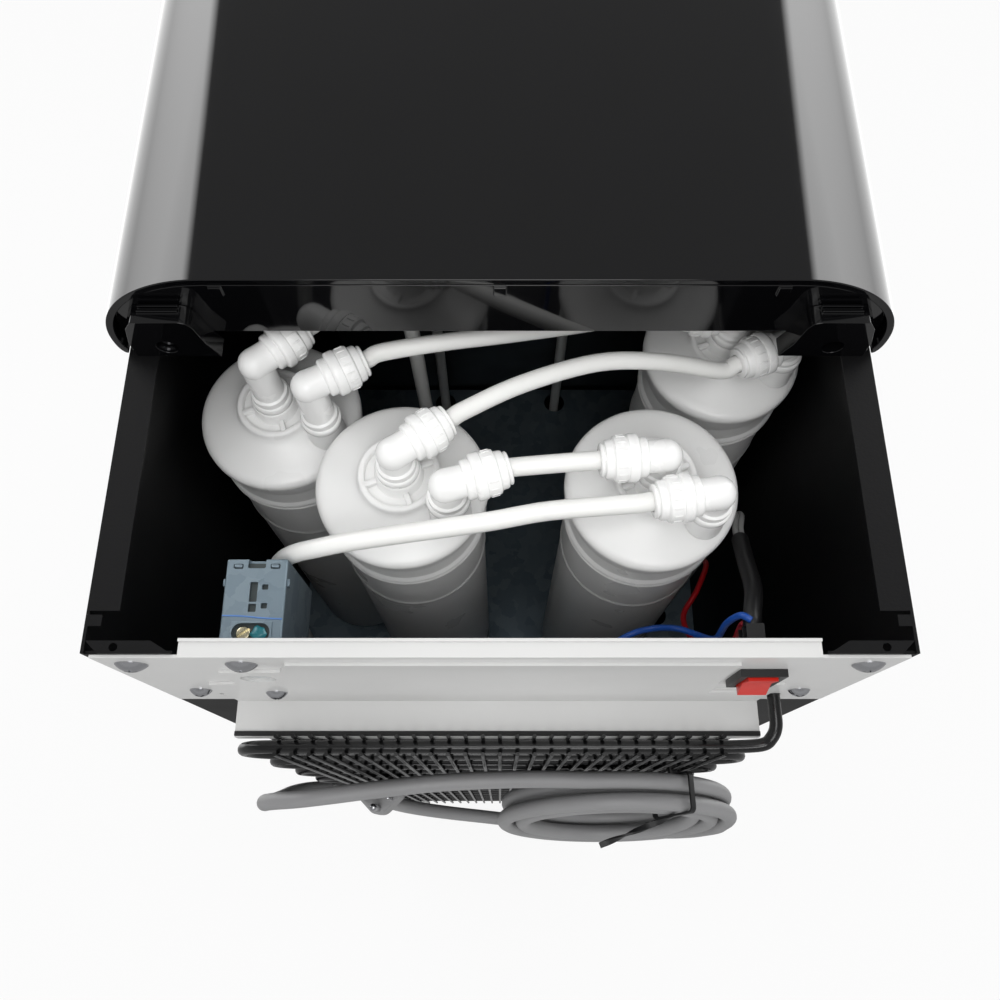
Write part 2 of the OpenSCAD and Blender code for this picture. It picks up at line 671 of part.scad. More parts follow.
// One tube from the inside of the panel to and fro down the condenser and in again at the bottom
function pass_side(i) = i % 2 == 0 ? 1 : -1;
function pass_z(i) = first_pass_z - i * pass_pitch;
condenser_route = concat(
  [for (p = [[0, 6, -72], [0, -6, -72], [0, condenser_f + 7, -72.6], [1.6, condenser_f + 3, -74],
    [5, condenser_f + 0.6, -76]]) [p[0] - feed_x, back(p[1]), rim(p[2])]],
  [for (i = [0:pass_count - 1]) for (k = [-1:(i < pass_count - 1 ? 7 : 0)])
    k < 1 ? [(2 * k + 1) * pass_side(i) * pass_half, back(condenser_f), pass_z(i)] :
    [pass_side(i) * (pass_half + pass_pitch / 2 * sin(22.5 * k)), back(condenser_f),
      pass_z(i) - pass_pitch / 2 * (1 - cos(22.5 * k))]],
  [for (p = [[4, 0.6, 0.6], [8, 3, 3], [10, 7, 5], [10.5, 12, 6], [10.5, 25.5, 6]])
    [pass_half + p[0], back(condenser_f + p[1]), condenser_low - p[2]]]);
module condenser_tube() {
  color([0.03, 0.03, 0.03]) sweep(condenser_route, condenser_tube_diameter, 12);
}

module condenser_wires() {
  count = floor((2 * pass_half - 4) / wire_pitch / 2);
  low = condenser_low - 7;
  high = first_pass_z + 6;
  for (layer = [-1, 1]) for (i = [-count:count]) color([0.03, 0.03, 0.03])
    translate([i * wire_pitch, back(condenser_f + layer * wire_offset), low])
      cylinder(d = wire_diameter, h = high - low, $fn = 16);
}

// Compressor and lines

compressor_f = 95;
compressor_x = 10;
compressor_z = foot_height + 1.5 + mount_height;

module compressor() {
  r = compressor_diameter / 2;
  color([0.04, 0.04, 0.045]) translate([compressor_x, back(compressor_f), compressor_z]) {
    translate([0, 0, 3]) rotate_extrude() polygon([[0, 0], [r - 12, 0], [r - 4, 4], [r, 14],
      [r, compressor_height * 0.45], [r + 3, compressor_height * 0.45], [r + 3, compressor_height * 0.45 + 4],
      [r, compressor_height * 0.45 + 4], [r - 1, compressor_height - 32], [r - 8, compressor_height - 14],
      [r - 24, compressor_height - 4], [0, compressor_height]]);
    difference() {
      translate([-r - 8, -r + 10, 0]) cube([2 * r + 16, 2 * r - 20, 3 + eps]);
      for (x = [-1, 1]) for (y = [-1, 1]) translate([x * mount_x, y * mount_y, -1]) cylinder(r = 4.6, h = 5);
    }
    translate([-30, r - 14, 50]) cube([40, 22, 46]);
  }
}
mount_x = compressor_diameter / 2;
mount_y = compressor_diameter / 2 - 20;
module compressor_mounts() {
  for (x = [-1, 1]) for (y = [-1, 1]) color([0.1, 0.1, 0.1])
    translate([compressor_x + x * mount_x, back(compressor_f) + y * mount_y, foot_height + 1.5])
      rotate_extrude() polygon([[0, 0], [9, 0], [9, mount_height - clear], [4.3, mount_height - clear],
        [4.3, mount_height + 6], [0, mount_height + 6]]);
}

drier_x = -96;
drier_f = 60;
drier_low = compressor_z + 50;
module filter_drier() {
  color([0.72, 0.45, 0.3]) translate([drier_x, back(drier_f), drier_low]) rotate_extrude()
    polygon([[0, 0], [3, 0], [3, 8], [9.5, 18], [9.5, 92], [3, 102], [3, 110], [0, 110]]);
}

// Pipe smoothed through points given as [x, depth, height over the rim]
module pipe(points, d, sides) {
  sweep(smooth([for (p = points) [p[0], back(p[1]), rim(p[2])]], 3), d, sides);
}
// Heights of the lines into the foam, at the fifth and the eighth loop of the evaporator
liquid_z = cold_z + 75;
suction_z = cold_z + 105;
evaporator_edge = cold_tank_diameter / 2 + 6.4;
module refrigerant_lines() {
  lid_z = compressor_z + compressor_height - rim_height;
  liquid = liquid_z - rim_height;
  suction = suction_z - rim_height;
  feed = low_feed_z - rim_height;
  shelf = shelf_height - rim_height;
  drier = drier_low - rim_height;
  color([0.72, 0.45, 0.3]) {
    // Hot gas from the compressor to the condenser
    pipe([[-24, compressor_f - 22, lid_z - 6], [-24, compressor_f - 22, lid_z + 10],
      [-24, compressor_f - 22, lid_z + 26], [-38, compressor_f - 34, lid_z + 44], [-80, 38, lid_z + 50],
      [-96, 16, lid_z + 66], [-feed_x, 10, lid_z + 110], [-feed_x, 10, lid_z + 300], [-feed_x, 10, -200],
      [-feed_x, 12, -100], [-feed_x, 13, -82], [-feed_x, 11, -74.6], [-feed_x, 6.1, -72]], 4.8, 10);
    // From the condenser to the drier
    pipe([[low_feed_x, 6.1, feed], [low_feed_x - 3, 9.6, feed - 1], [low_feed_x - 12, 10, feed - 3],
      [0, 10, feed - 10], [-70, 10, feed - 16], [-86, 11, feed - 22], [-92, 13, feed - 40], [-92, 16,
        shelf + 30],
      [-92, 17, shelf - 10], [-93, 30, shelf - 50], [-95, 54, drier + 160], [drier_x, drier_f, drier + 130],
      [drier_x, drier_f, drier + 109.5]], 4.8, 10);
    // Liquid from the drier to the evaporator
    pipe([[drier_x, drier_f, drier + 0.5], [drier_x, drier_f, drier - 10], [drier_x - 3, drier_f + 6,
      drier - 18],
      [drier_x - 10, drier_f + 16, drier - 10], [drier_x - 12, drier_f + 22, drier + 20],
      [drier_x - 10, drier_f + 34, drier + 120], [-94, cold_f, shelf - 20], [-94, cold_f, shelf + 40],
      [-93, cold_f, liquid - 12], [-89, cold_f, liquid - 1.4], [-cold_box / 2, cold_f, liquid],
      [-evaporator_edge, cold_f, liquid]], 2.4, 8);
    // Cold gas from the evaporator to the compressor
    pipe([[evaporator_edge, cold_f, suction], [cold_box / 2, cold_f, suction],
      [cold_box / 2 + 9, cold_f, suction - 2], [cold_box / 2 + 15, cold_f, suction - 12],
      [cold_box / 2 + 16, cold_f, suction - 40], [cold_box / 2 + 16, cold_f, shelf - 40],
      [cold_box / 2 + 8, cold_f, lid_z + 46 + 0.3 * (shelf - lid_z - 86)], [62, cold_f, lid_z + 46],
        [44, cold_f, lid_z + 22],
      [40, cold_f, lid_z + 6], [40, cold_f, lid_z - 8]], 6, 10);
  }
}

// Tanks

module tank(d, h, ports) {
  r = d / 2;
  difference() {
    union() {
      rotate_extrude() polygon([[0, 0], [r - 10, 0], [r, 8], [r, h - 8], [r - 10, h], [0, h]]);
      for (p = ports) translate([p[0], p[1], h - 1]) cylinder(d = 10, h = 15);
    }
    rotate_extrude() polygon([[0, tank_wall], [r - 10.4, tank_wall], [r - tank_wall, 8.3],
      [r - tank_wall, h - 8.3], [r - 10.4, h - tank_wall], [0, h - tank_wall]]);
    for (p = ports) translate([p[0], p[1], h - 5]) cylinder(d = collet_bore, h = 25);
  }
}
cold_ports = [[10, cold_f - 132], [tap_offset, -2]];
hot_ports = [[-tap_offset + 14, 6]];
module cold_tank() {
  color([0.75, 0.76, 0.78]) translate([0, back(cold_f), cold_z]) tank(cold_tank_diameter,
    cold_tank_height, cold_ports);
}
module hot_tank() {
  color([0.75, 0.76, 0.78]) translate([0, back(hot_f), hot_z]) tank(hot_tank_diameter, hot_tank_height,
    hot_ports);
}
module evaporator_coil() {
  r = cold_tank_diameter / 2 + clear;
  color([0.72, 0.45, 0.3]) translate([0, back(cold_f), cold_z + 20]) rotate_extrude() difference() {
    union() {
      translate([r, 0]) square([3, 120]);
      for (i = [0:11]) translate([r + 3, 5 + 10 * i]) circle(r = 3);
    }
    square([r, 130]);
  }
}
module heater_band() {
  r = hot_tank_diameter / 2 + clear;
  color([0.6, 0.6, 0.62]) translate([0, back(hot_f), hot_z + 20]) difference() {
    cylinder(r = r + 4, h = 46);
    translate([0, 0, -1]) cylinder(r = r, h = 48);
    translate([r - 3, -2, -1]) cube([10, 4, 48]);
  }
}
module foam_box(size, height, bore, top_gap) {
  difference() {
    translate([-size / 2, -size / 2, 0]) cube([size, size, height]);
    translate([0, 0, top_gap]) cylinder(d = bore, h = height - 2 * top_gap + 4);
  }
}
module tank_insulation() {
  color([0.9, 0.86, 0.7]) {
    translate([0, back(cold_f), shelf_height]) difference() {
      foam_box(cold_box, cold_tank_height + 50, cold_tank_diameter + 16, cold_z - shelf_height);
      for (p = cold_ports) translate([p[0], p[1], 100]) cylinder(d = 12, h = cold_tank_height);
      translate([-cold_box, 0, liquid_z - shelf_height]) rotate([0, 90, 0]) cylinder(d = 3.2, h = cold_box);
      translate([0, 0, suction_z - shelf_height]) rotate([0, 90, 0]) cylinder(d = 7, h = cold_box);
    }
    translate([0, back(hot_f), shelf_height]) difference() {
      foam_box(hot_box, hot_tank_height + 38, hot_tank_diameter + 14, hot_z - shelf_height);
      for (p = hot_ports) translate([p[0], p[1], 60]) cylinder(d = 12, h = hot_tank_height);
    }
  }
}

// Hoses from the tanks to the taps

tap_f = body_depth - 50;
tap_hose_f = niche_back - 14;
module tap_hoses() {
  color([0.85, 0.85, 0.82]) {
    sweep(smooth([[tap_offset, back(cold_f + 2), feed_top + 8], [tap_offset, back(cold_f + 2), feed_top + 24],
      [tap_offset + 5, back(cold_f + 14), feed_top + 42], [tap_offset + 9, back(150), feed_top + 54],
      [tap_offset + 3, back(205), feed_top + 62], [tap_offset, back(231), deck_z - 22], [tap_offset,
        back(tap_hose_f), deck_z + 20],
      [tap_offset, back(tap_hose_f), brow_low - 20], [tap_offset, back(tap_hose_f + 2), brow_low + 8],
      [tap_offset, back(niche_back + 4), brow_low + 22], [tap_offset, back(tap_f - 18), brow_low + 26],
      [tap_offset, back(tap_f - 4), brow_low + 20], [tap_offset, back(tap_f), brow_low + 8],
      [tap_offset, back(tap_f), brow_low - 1]], 2), tube_diameter, 8);
    sweep(smooth([[-tap_offset + 14, back(hot_f - 6), hot_z + hot_tank_height + 8],
      [-tap_offset + 14, back(hot_f - 6), hot_z + hot_tank_height + 20],
      [-tap_offset + 6, back(hot_f - 14), hot_z + hot_tank_height + 26],
      [-tap_offset, back(tap_hose_f + 1), hot_z + hot_tank_height + 60], [-tap_offset,
        back(tap_hose_f), deck_z - 20],
      [-tap_offset, back(tap_hose_f), deck_z + 20],
      [-tap_offset, back(tap_hose_f), brow_low - 20], [-tap_offset, back(tap_hose_f + 2), brow_low + 8],
      [-tap_offset, back(niche_back + 4), brow_low + 22], [-tap_offset, back(tap_f - 18), brow_low + 26],
      [-tap_offset, back(tap_f - 4), brow_low + 20], [-tap_offset, back(tap_f), brow_low + 8],
      [-tap_offset, back(tap_f), brow_low - 1]], 2), tube_diameter, 8);
  }
}

// Water inlet

module inlet_fitting() {
  color([0.92, 0.92, 0.92]) difference() {
    union() {
      rod_y(inlet_x, inlet_z, -22, 2, 12);
      rod_y(inlet_x, inlet_z, -4, 1, 22);
      rod_y(inlet_x, inlet_z, -20, -14, 16);
    }
    rod_y(inlet_x, inlet_z, -30, -8, collet_bore);
  }
}
module inlet_valve() {
  color([0.2, 0.22, 0.4]) difference() {
    union() {
      slab([inlet_x - 14, 2, inlet_z - 14], [inlet_x + 14, 30, inlet_z + 14]);
      rod_y(inlet_x, inlet_z, 30 - eps, 54, 24);
      translate([inlet_x, back(17), inlet_z + 14 - eps]) cylinder(d = 13, h = 16);
    }
    translate([inlet_x, back(17), inlet_z + 6]) cylinder(d = collet_bore, h = 30);
  }
}

// Thermostat

thermostat_top = -15;
thermostat_low = -55;
module thermostat_box() {
  left = thermostat_x - thermostat_width / 2;
  right = thermostat_x + thermostat_width / 2;
  color([0.68, 0.74, 0.78]) difference() {
    slab([left, 0, rim(thermostat_low)], [right, thermostat_depth, rim(thermostat_top)]);
    slab([left + 1, 1, rim(thermostat_low - 1)], [right - 1, thermostat_depth - 1, rim(thermostat_top - 1)]);
    slab([thermostat_x - 3.2, 16, rim(-20)], [thermostat_x - 0.4, 26, rim(-10)]);
    slab([thermostat_x - 6.8, 23.5, rim(-20)], [thermostat_x - 4, 26.5, rim(-10)]);
    slab([thermostat_x - 6, 17.5, rim(-20)], [thermostat_x - 3.8, 20, rim(-10)]);
    for (x = [-1, 1]) translate([thermostat_x + x * 3, back(9.5), rim(-20)]) cylinder(d = 6.4, h = 10);
    slab([thermostat_x - 3, 6.3, rim(-20)], [thermostat_x + 3, 12.7, rim(-10)]);
    slab([left + 7, thermostat_depth - 3, rim(-20)], [right - 7, thermostat_depth + 1, rim(-10)]);
  }
}
screw_radius = 2.4;
module thermostat_body() {
  color([0.16, 0.18, 0.18]) difference() {
    slab([thermostat_x - thermostat_width / 2 + 1 + clear, 1 + clear, rim(thermostat_low + 1)],
      [thermostat_x + thermostat_width / 2 - 1 - clear, thermostat_depth - 1 - clear,
        rim(thermostat_top - 1 - clear)]);
    translate([thermostat_x + 2.6, back(9.5), rim(-24)]) cylinder(r = screw_radius + pin_gap, h = 20);
  }
}
module thermostat_screw() {
  color([0.8, 0.76, 0.6]) translate([thermostat_x + 2.6, back(9.5), rim(-24) + clear]) difference() {
    cylinder(r = screw_radius, h = 8.2);
    translate([-3, -0.5, 7]) cube([6, 1, 3]);
  }
}

// Rocker switch

key_width = 9.6;
key_pin = 2.4;
bezel_face = -sheet - 2.5;
module rocker_bezel() {
  color([0.03, 0.03, 0.03]) difference() {
    union() {
      slab([switch_x - bezel_width / 2, -sheet, switch_z - bezel_height / 2],
        [switch_x + bezel_width / 2, bezel_face, switch_z + bezel_height / 2]);
      slab([switch_x - switch_body_width / 2, -sheet - eps, switch_z - switch_body_height / 2],
        [switch_x + switch_body_width / 2, 9, switch_z + switch_body_height / 2]);
      for (z = [-5, 0, 5]) slab([switch_x - 3, 9 - eps, switch_z + z - 0.4], [switch_x + 3, 15,
        switch_z + z + 0.4]);
    }
    slab([switch_x - key_width / 2 - 0.4, 3.6, switch_z - 8.9], [switch_x + key_width / 2 + 0.4, -10,
      switch_z + 8.9]);
    translate([switch_x, back(-sheet), switch_z]) rotate([0, 90, 0])
      cylinder(d = key_pin + 2 * pin_gap, h = 12, center = true);
  }
}
module rocker_key() {
  color([0.85, 0.13, 0.07]) translate([switch_x, back(-sheet), switch_z]) rotate([7, 0, 0]) {
    across(-key_width / 2, key_width / 2)
      polygon([[-3, -4], [-3, 4], [1, 8], [4.6, 8], [3, 0], [4.6, -8], [1, -8]]);
    rotate([0, 90, 0]) cylinder(d = key_pin, h = 11.4, center = true);
  }
}

// Wiring

module wiring() {
  color([0.75, 0.05, 0.05]) sweep(smooth([spot(-84, 15.9, -35.5), spot(-83.5, 17.6, -39.5), spot(-84,
    14, -60),
    spot(-82, 16, -90), spot(-78, 36, -110), spot(-85, 49, -112), spot(-91.6, 62.6, -118),
    spot(-95.5, 74, -150), spot(-96, 79, -200), spot(-96, 81, -260), spot(-96, 81.5, -298),
    spot(-96, 82, -330)], 2), 2.4, 8);
  color([0.05, 0.2, 0.6]) sweep(smooth([spot(-83, 16, -25.5), spot(-80, 18, -26.9), spot(-77.5, 17.5, -36),
    spot(-77, 15.5, -52), spot(-74.5, 20, -67), spot(-68, 23.8, -72.5), spot(-58, 23.4, -70.5),
    spot(-48, 20.4, -70), spot(-36, 14, -80), spot(-28, 10, -95), spot(-24, 9, -120), spot(-24, 10, -200),
    spot(-24, 10, -290), spot(-24, 10, -318)], 2), 2.4, 8);
  color([0.6, 0.6, 0.6]) sweep(smooth([spot(-91, 55, -58), spot(-92, 61, -63), spot(-97, 72, -78),
    spot(-101, 80, -105), spot(-103, 83, -160), spot(-103, 85, -230), spot(-103, 86, -290),
    spot(-103, 86, -330)], 2), 4.4, 8);
}
module wire_sleeve() {
  color([0.03, 0.03, 0.03]) sweep(smooth([spot(-84.5, 15, -30.5), spot(-85, 19, -30.8), spot(-88, 30, -37),
    spot(-89.5, 43, -48), spot(-91, 55, -58)], 3), 6.4, 8);
}

// Power cord, in the plane of its coil: u across, v up along the lean, w out of the plane

coil_x = -53;
coil_f = -38.7;
coil_z = rim_height - 190;
coil_lean = 6.6;
coil_half_width = 55;
coil_half_height = 59;
coil_step = 8.6;
coil_layer = 8.2;
coil_turns = 1.875;
coil_rings = 24;

function coil_point(u, v, w) = [coil_x + u,
  back(coil_f) + w * cos(coil_lean) - v * sin(coil_lean),
  coil_z + v * cos(coil_lean) + w * sin(coil_lean)];
// The loops run in, climb a layer in half a turn and run out again
function coil_drawn_in(t) = t < coil_turns ? coil_step * t :
  t < coil_turns + 0.5 ? coil_step * coil_turns : coil_step * (2 * coil_turns + 0.5 - t);
function coil_height(t) = t < coil_turns ? -coil_layer / 2 :
  t < coil_turns + 0.5 ? coil_layer * ((t - coil_turns) * 2 - 0.5) : coil_layer / 2;
function coil_at(t) = let (a = 90 + 360 * t, d = coil_drawn_in(t))
  coil_point((coil_half_width - d) * cos(a), (coil_half_height - d) * sin(a), coil_height(t));
coil_total = 2 * coil_turns + 0.5;
coil_count = round(coil_total * coil_rings);
coil_loops = [for (i = [0:coil_count]) coil_at(i / coil_rings)];
// The first end lies along the top and the last end down the side
coil_start = coil_loops[0] + [cord_diameter, 0, 0];
coil_end = coil_loops[coil_count] - cord_diameter * (coil_point(0, 1, 0) - coil_point(0, 0, 0));
coil_route = concat([coil_start], coil_loops, [coil_end]);
coil_gap = min([for (i = [0:coil_count]) for (j = [i + 12:coil_count]) norm(coil_loops[i] - coil_loops[j])])
  - cord_diameter;
echo(coil_gap = coil_gap);

module power_cord_coil() { color([0.45, 0.45, 0.46]) sweep(coil_route, cord_diameter, 6); }

// The strain relief turns the cord upwards
relief_f = -12;
relief_length = 34;
lead_route = [
  [outlet_x, back(relief_f), outlet_z + relief_length], [outlet_x, back(relief_f), outlet_z + 46],
  [outlet_x + 1, back(-12.2), outlet_z + 62], [91.5, back(-13), outlet_z + 88], [98.5, back(-14.2),
    outlet_z + 118],
  [103, back(-15.2), outlet_z + 145], [104.5, back(-16.5), outlet_z + 180], [105, back(-18), coil_z - 230],
  [105.5, back(-19.5), coil_z - 150], [106, back(-23), coil_z - 90], [106.3, back(-28.5), coil_z - 30],
  [106.2, back(-33.4), coil_z + 4],
  [106, back(-35.6), coil_z + 24], [103.4, back(-36), coil_z + 37.5],
  [96, back(-35.9), coil_z + 48.5], [85, back(-35.5), coil_z + 56], [72, back(-34.2), coil_z + 58.4],
  [50, back(-31.5), coil_z + 58.5], [25, back(-29), coil_z + 58.4], [0, back(-27.8), coil_z + 58.2],
  [-20, back(-27.5), coil_z + 58.1], coil_start + [10, 0, 0], coil_start];
tail_end = [58, back(-32.5), coil_z - 29];
tail_route = [coil_end, coil_end + 10 * unit(coil_end - coil_loops[coil_count]),
  [-106, back(-45.8), coil_z - 36], [-100, back(-46.8), coil_z - 56], [-88, back(-47), coil_z - 74],
  [-70, back(-46), coil_z - 87], [-46, back(-44), coil_z - 95], [-18, back(-41.5), coil_z - 99],
  [8, back(-38.8), coil_z - 96], [32, back(-36.4), coil_z - 88], [48, back(-34.4), coil_z - 74],
  [56, back(-33), coil_z - 56], [58, back(-32.5), coil_z - 42], tail_end];
module power_cord() {
  color([0.45, 0.45, 0.46]) {
    sweep(smooth(lead_route, 2), cord_diameter, 8);
    sweep(smooth(tail_route, 2), cord_diameter, 8);
  }
}

module strain_relief() {
  color([0.1, 0.1, 0.1]) {
    rod_y(outlet_x, outlet_z, 2, 10, 20);
    rod_y(outlet_x, outlet_z, -sheet, 2 + eps, 14);
    rod_y(outlet_x, outlet_z, 1, -3, 20);
    rod_y(outlet_x, outlet_z, eps - 3, relief_f, 13.6);
    translate([outlet_x, back(relief_f), outlet_z]) {
      sphere(r = 7.4);
      rotate_extrude() polygon([[0, 0], [7, 0], [5.2, relief_length], [0, relief_length]]);
    }
  }
}

module power_plug() {
  color([0.4, 0.4, 0.41]) translate(tail_end) {
    cylinder(r1 = 4.6, r2 = 6, h = 14);
    translate([0, 0, 13]) linear_extrude(21)
      polygon([[-11, -6], [11, -6], [11, -1], [2.5, 7.5], [-2.5, 7.5], [-11, -1]]);
  }
  color([0.75, 0.7, 0.5]) translate(tail_end) {
    for (x = [-6.35, 6.35]) translate([x - 0.75, -5, 33.5]) cube([1.5, 6.4, 17.5]);
    translate([0, 5, 33.5]) cylinder(d = 3.2, h = 19);
  }
}

// Wire of the condenser that the tie holds on to
tied_wire = -12 * wire_pitch;
module cord_tie() {
  color([0.03, 0.03, 0.03]) {
    translate(coil_point(-22, 45, 0)) rotate([coil_lean, 0, 0]) {
      rotate([0, -30, 0]) difference() {
        translate([-1.6, -8.6, -13.4]) cube([3.2, 17.8, 26.8]);
        translate([-3, -7.9, -12.1]) cube([6, 15.8, 24.2]);
      }
      translate([0, 8.1, -1.5]) rotate([0, 6, 20]) cube([34, 1.2, 2.8]);
    }
    translate([tied_wire, back(condenser_f - wire_offset), coil_z + 45]) difference() {
      translate([-2.1, -1.8, -1.6]) cube([4.2, 4, 3.2]);
      translate([-1.1, -1.05, -3]) cube([2.2, 2.1, 6]);
    }
  }
}

// Dispensing

lever_f = tap_f - 16;
lever_z = brow_low - 15;
module tap_spouts() {
  for (x = [-tap_offset, tap_offset]) color([0.12, 0.12, 0.13]) translate([x, back(tap_f), 0]) {
    difference() {
      union() {
        translate([0, 0, brow_low - 30]) cylinder(r = 11, h = 28);
        translate([0, 0, brow_low - 44]) cylinder(r = 7, h = 15);
      }
      translate([0, 0, brow_low - 50]) cylinder(d = collet_bore, h = 60);
    }
    for (side = [-1, 1]) difference() {
      translate([side * 16 - 1, tap_f - lever_f - 5, lever_z - 6]) cube([2, 10, brow_low - 2 - lever_z + 6]);
      translate([side * 16 - 3, tap_f - lever_f, lever_z]) rotate([0, 90, 0])
        cylinder(d = lever_pin + 2 * pin_gap, h = 6);
    }
  }
}
module lever(x, tint) {
  color(tint) translate([x, back(lever_f), lever_z]) {
    rotate([0, 90, 0]) cylinder(d = lever_pin, h = 34, center = true);
    rotate([0, 90, 0]) cylinder(r = 4, h = 29, center = true);
    translate([-14, -1.5, -64]) cube([28, 3, 63]);
    translate([-14, -4.5, -64]) cube([28, 6, 3]);
  }
}
module cold_lever() { lever(tap_offset, [0.1, 0.25, 0.6]); }
module hot_lever() { lever(-tap_offset, [0.7, 0.08, 0.06]); }

module child_lock() {
  color([0.8, 0.1, 0.08]) {
    rod_y(-tap_offset, lock_z, body_depth - front_wall - 3, body_depth + 3, 2 * lock_radius);
    rod_y(-tap_offset, lock_z, body_depth - front_wall - 5, body_depth - front_wall - clear,
      2 * lock_radius + 4);
  }
}

tray_half = niche_width / 2 - 12;
tray_f1 = niche_back + 6;
tray_f2 = body_depth + 2;
module drip_tray() {
  color([0.1, 0.1, 0.1]) difference() {
    slab([-tray_half, tray_f1, niche_low + clear], [tray_half, tray_f2, niche_low + tray_height]);
    slab([-tray_half + 2, tray_f1 + 2, niche_low + clear + 2], [tray_half - 2, tray_f2 - 2,
      niche_low + tray_height + 1]);
  }
}
module drip_grille() {
  slots = 13;
  pitch = (2 * tray_half - 16) / slots;
  low = niche_low + tray_height + clear;
  color([0.5, 0.5, 0.52]) difference() {
    slab([-tray_half, tray_f1, low], [tray_half, tray_f2, low + 2.4]);
    for (i = [0:slots - 1]) slab([-tray_half + 8 + pitch * (i + 0.25), tray_f1 + 8, low - 1],
      [-tray_half + 8 + pitch * (i + 0.75), tray_f2 - 8, low + 4]);
  }
}

left_side_panel();
right_side_panel();
rear_upper_panel();
rear_lower_panel();
base_pan();
feet();
front_fascia();
alcove_liner();
lower_front_panel();
top_lid();
lid_rear_wall();
lid_corner_blocks();
lid_runners();
filter_deck();
tank_shelf();
panel_screws();
condenser_channel();
condenser_tube();
condenser_wires();
compressor();
compressor_mounts();
filter_drier();
refrigerant_lines();
cold_tank();
evaporator_coil();
hot_tank();
heater_band();
tank_insulation();
filter_1();
filter_2();
filter_3();
filter_4();
filter_caps();
elbow_fittings();
supply_tube();
filter_tube_1();
filter_tube_2();
filter_tube_3();
tank_feed_tube();
tap_hoses();
inlet_valve();
inlet_fitting();
thermostat_box();
thermostat_body();
thermostat_screw();
rocker_bezel();
rocker_key();
wiring();
wire_sleeve();
strain_relief();
power_cord();
power_cord_coil();
power_plug();
cord_tie();
tap_spouts();
cold_lever();
hot_lever();
child_lock();
drip_tray();
drip_grille();
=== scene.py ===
"""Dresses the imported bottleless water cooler: smooth shells, tubes and cords over the CAD frame, and their finishes."""

from collections import namedtuple
from math import cos, pi, radians, sin, sqrt

import bmesh
import bpy
from bpy.props import FloatProperty, FloatVectorProperty, IntProperty, PointerProperty
from mathutils import Matrix, Vector


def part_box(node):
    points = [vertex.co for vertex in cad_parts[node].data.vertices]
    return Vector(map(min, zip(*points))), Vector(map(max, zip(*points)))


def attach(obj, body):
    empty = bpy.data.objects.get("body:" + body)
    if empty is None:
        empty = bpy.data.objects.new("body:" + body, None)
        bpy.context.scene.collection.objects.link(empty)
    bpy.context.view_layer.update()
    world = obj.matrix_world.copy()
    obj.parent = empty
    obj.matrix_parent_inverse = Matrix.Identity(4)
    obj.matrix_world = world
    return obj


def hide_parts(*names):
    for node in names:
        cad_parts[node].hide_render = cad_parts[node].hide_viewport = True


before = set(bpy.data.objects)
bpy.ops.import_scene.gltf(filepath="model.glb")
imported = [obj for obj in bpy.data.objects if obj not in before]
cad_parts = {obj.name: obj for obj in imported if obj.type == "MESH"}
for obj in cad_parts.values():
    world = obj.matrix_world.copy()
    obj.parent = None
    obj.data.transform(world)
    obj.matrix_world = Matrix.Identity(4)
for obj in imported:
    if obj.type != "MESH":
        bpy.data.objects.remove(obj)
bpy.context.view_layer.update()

bl_info = {
    "name": "Bottleless water cooler",
    "version": (1, 0, 0),
    "blender": (4, 5, 0),
    "location": "View3D > Sidebar > Cooler",
    "description": "Smooth shells, tubes, cord and finishes of a bottleless water cooler",
    "category": "Object",
}

# Shapes are worked out in millimetres and made metres when a piece is finished
MM = 0.001
HALF, REAR, RIM = (round(v / MM, 2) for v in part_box("right_side_panel")[1])


def at(x, depth, rise):
    """The place x mm across, so deep in front of the rear plane, and so far over the rim."""
    return Vector((x, REAR - depth, RIM + rise))


def places(*points):
    return [at(*point) for point in points]


# Finishes


def linear(code):
    """An sRGB hex colour as the linear colour that shaders take."""
    parts = [int(code[i : i + 2], 16) / 255 for i in (1, 3, 5)]
    return tuple(p / 12.92 if p <= 0.04045 else ((p + 0.055) / 1.055) ** 2.4 for p in parts) + (1.0,)


def add(tree, kind, inputs=None, **settings):
    """Adds a node with its settings, and gives its inputs values or links."""
    node = tree.nodes.new("ShaderNode" + kind)
    for name, value in settings.items():
        setattr(node, name, value)
    for name, value in (inputs or {}).items():
        if isinstance(value, bpy.types.NodeSocket):
            tree.links.new(value, node.inputs[name])
        else:
            node.inputs[name].default_value = value
    return node


def blank(name):
    """A material with no nodes yet, and its Object coordinates."""
    material = bpy.data.materials.new(name)
    material.use_nodes = True
    material.node_tree.nodes.clear()
    return material, material.node_tree, add(material.node_tree, "TexCoord").outputs["Object"]


def close(tree, values):
    """Ends a material in one shader."""
    shader = add(tree, "BsdfPrincipled", values)
    add(tree, "OutputMaterial", {"Surface": shader.outputs[0]})


def noise(tree, place, size, detail=2):
    """Clouds about as wide as the size in mm."""
    return add(tree, "TexNoise", {"Vector": place, "Scale": 1000 / size, "Detail": detail}).outputs[0]


def blend(tree, share, first, second):
    """Goes from the first colour to the second."""
    return add(tree, "Mix", {0: share, 6: first, 7: second}, data_type="RGBA").outputs[2]


def ramp(tree, value, low=0, high=1, first=0, last=1):
    """Takes a value from low to high over to first to last, and holds it there."""
    return add(tree, "MapRange", {0: value, 1: low, 2: high, 3: first, 4: last}).outputs[0]


def bump(tree, height, depth, strength=1, **under):
    """The normal of a relief so many mm deep."""
    return add(tree, "Bump", {"Height": height, "Distance": depth * MM, "Strength": strength, **under}).outputs[0]


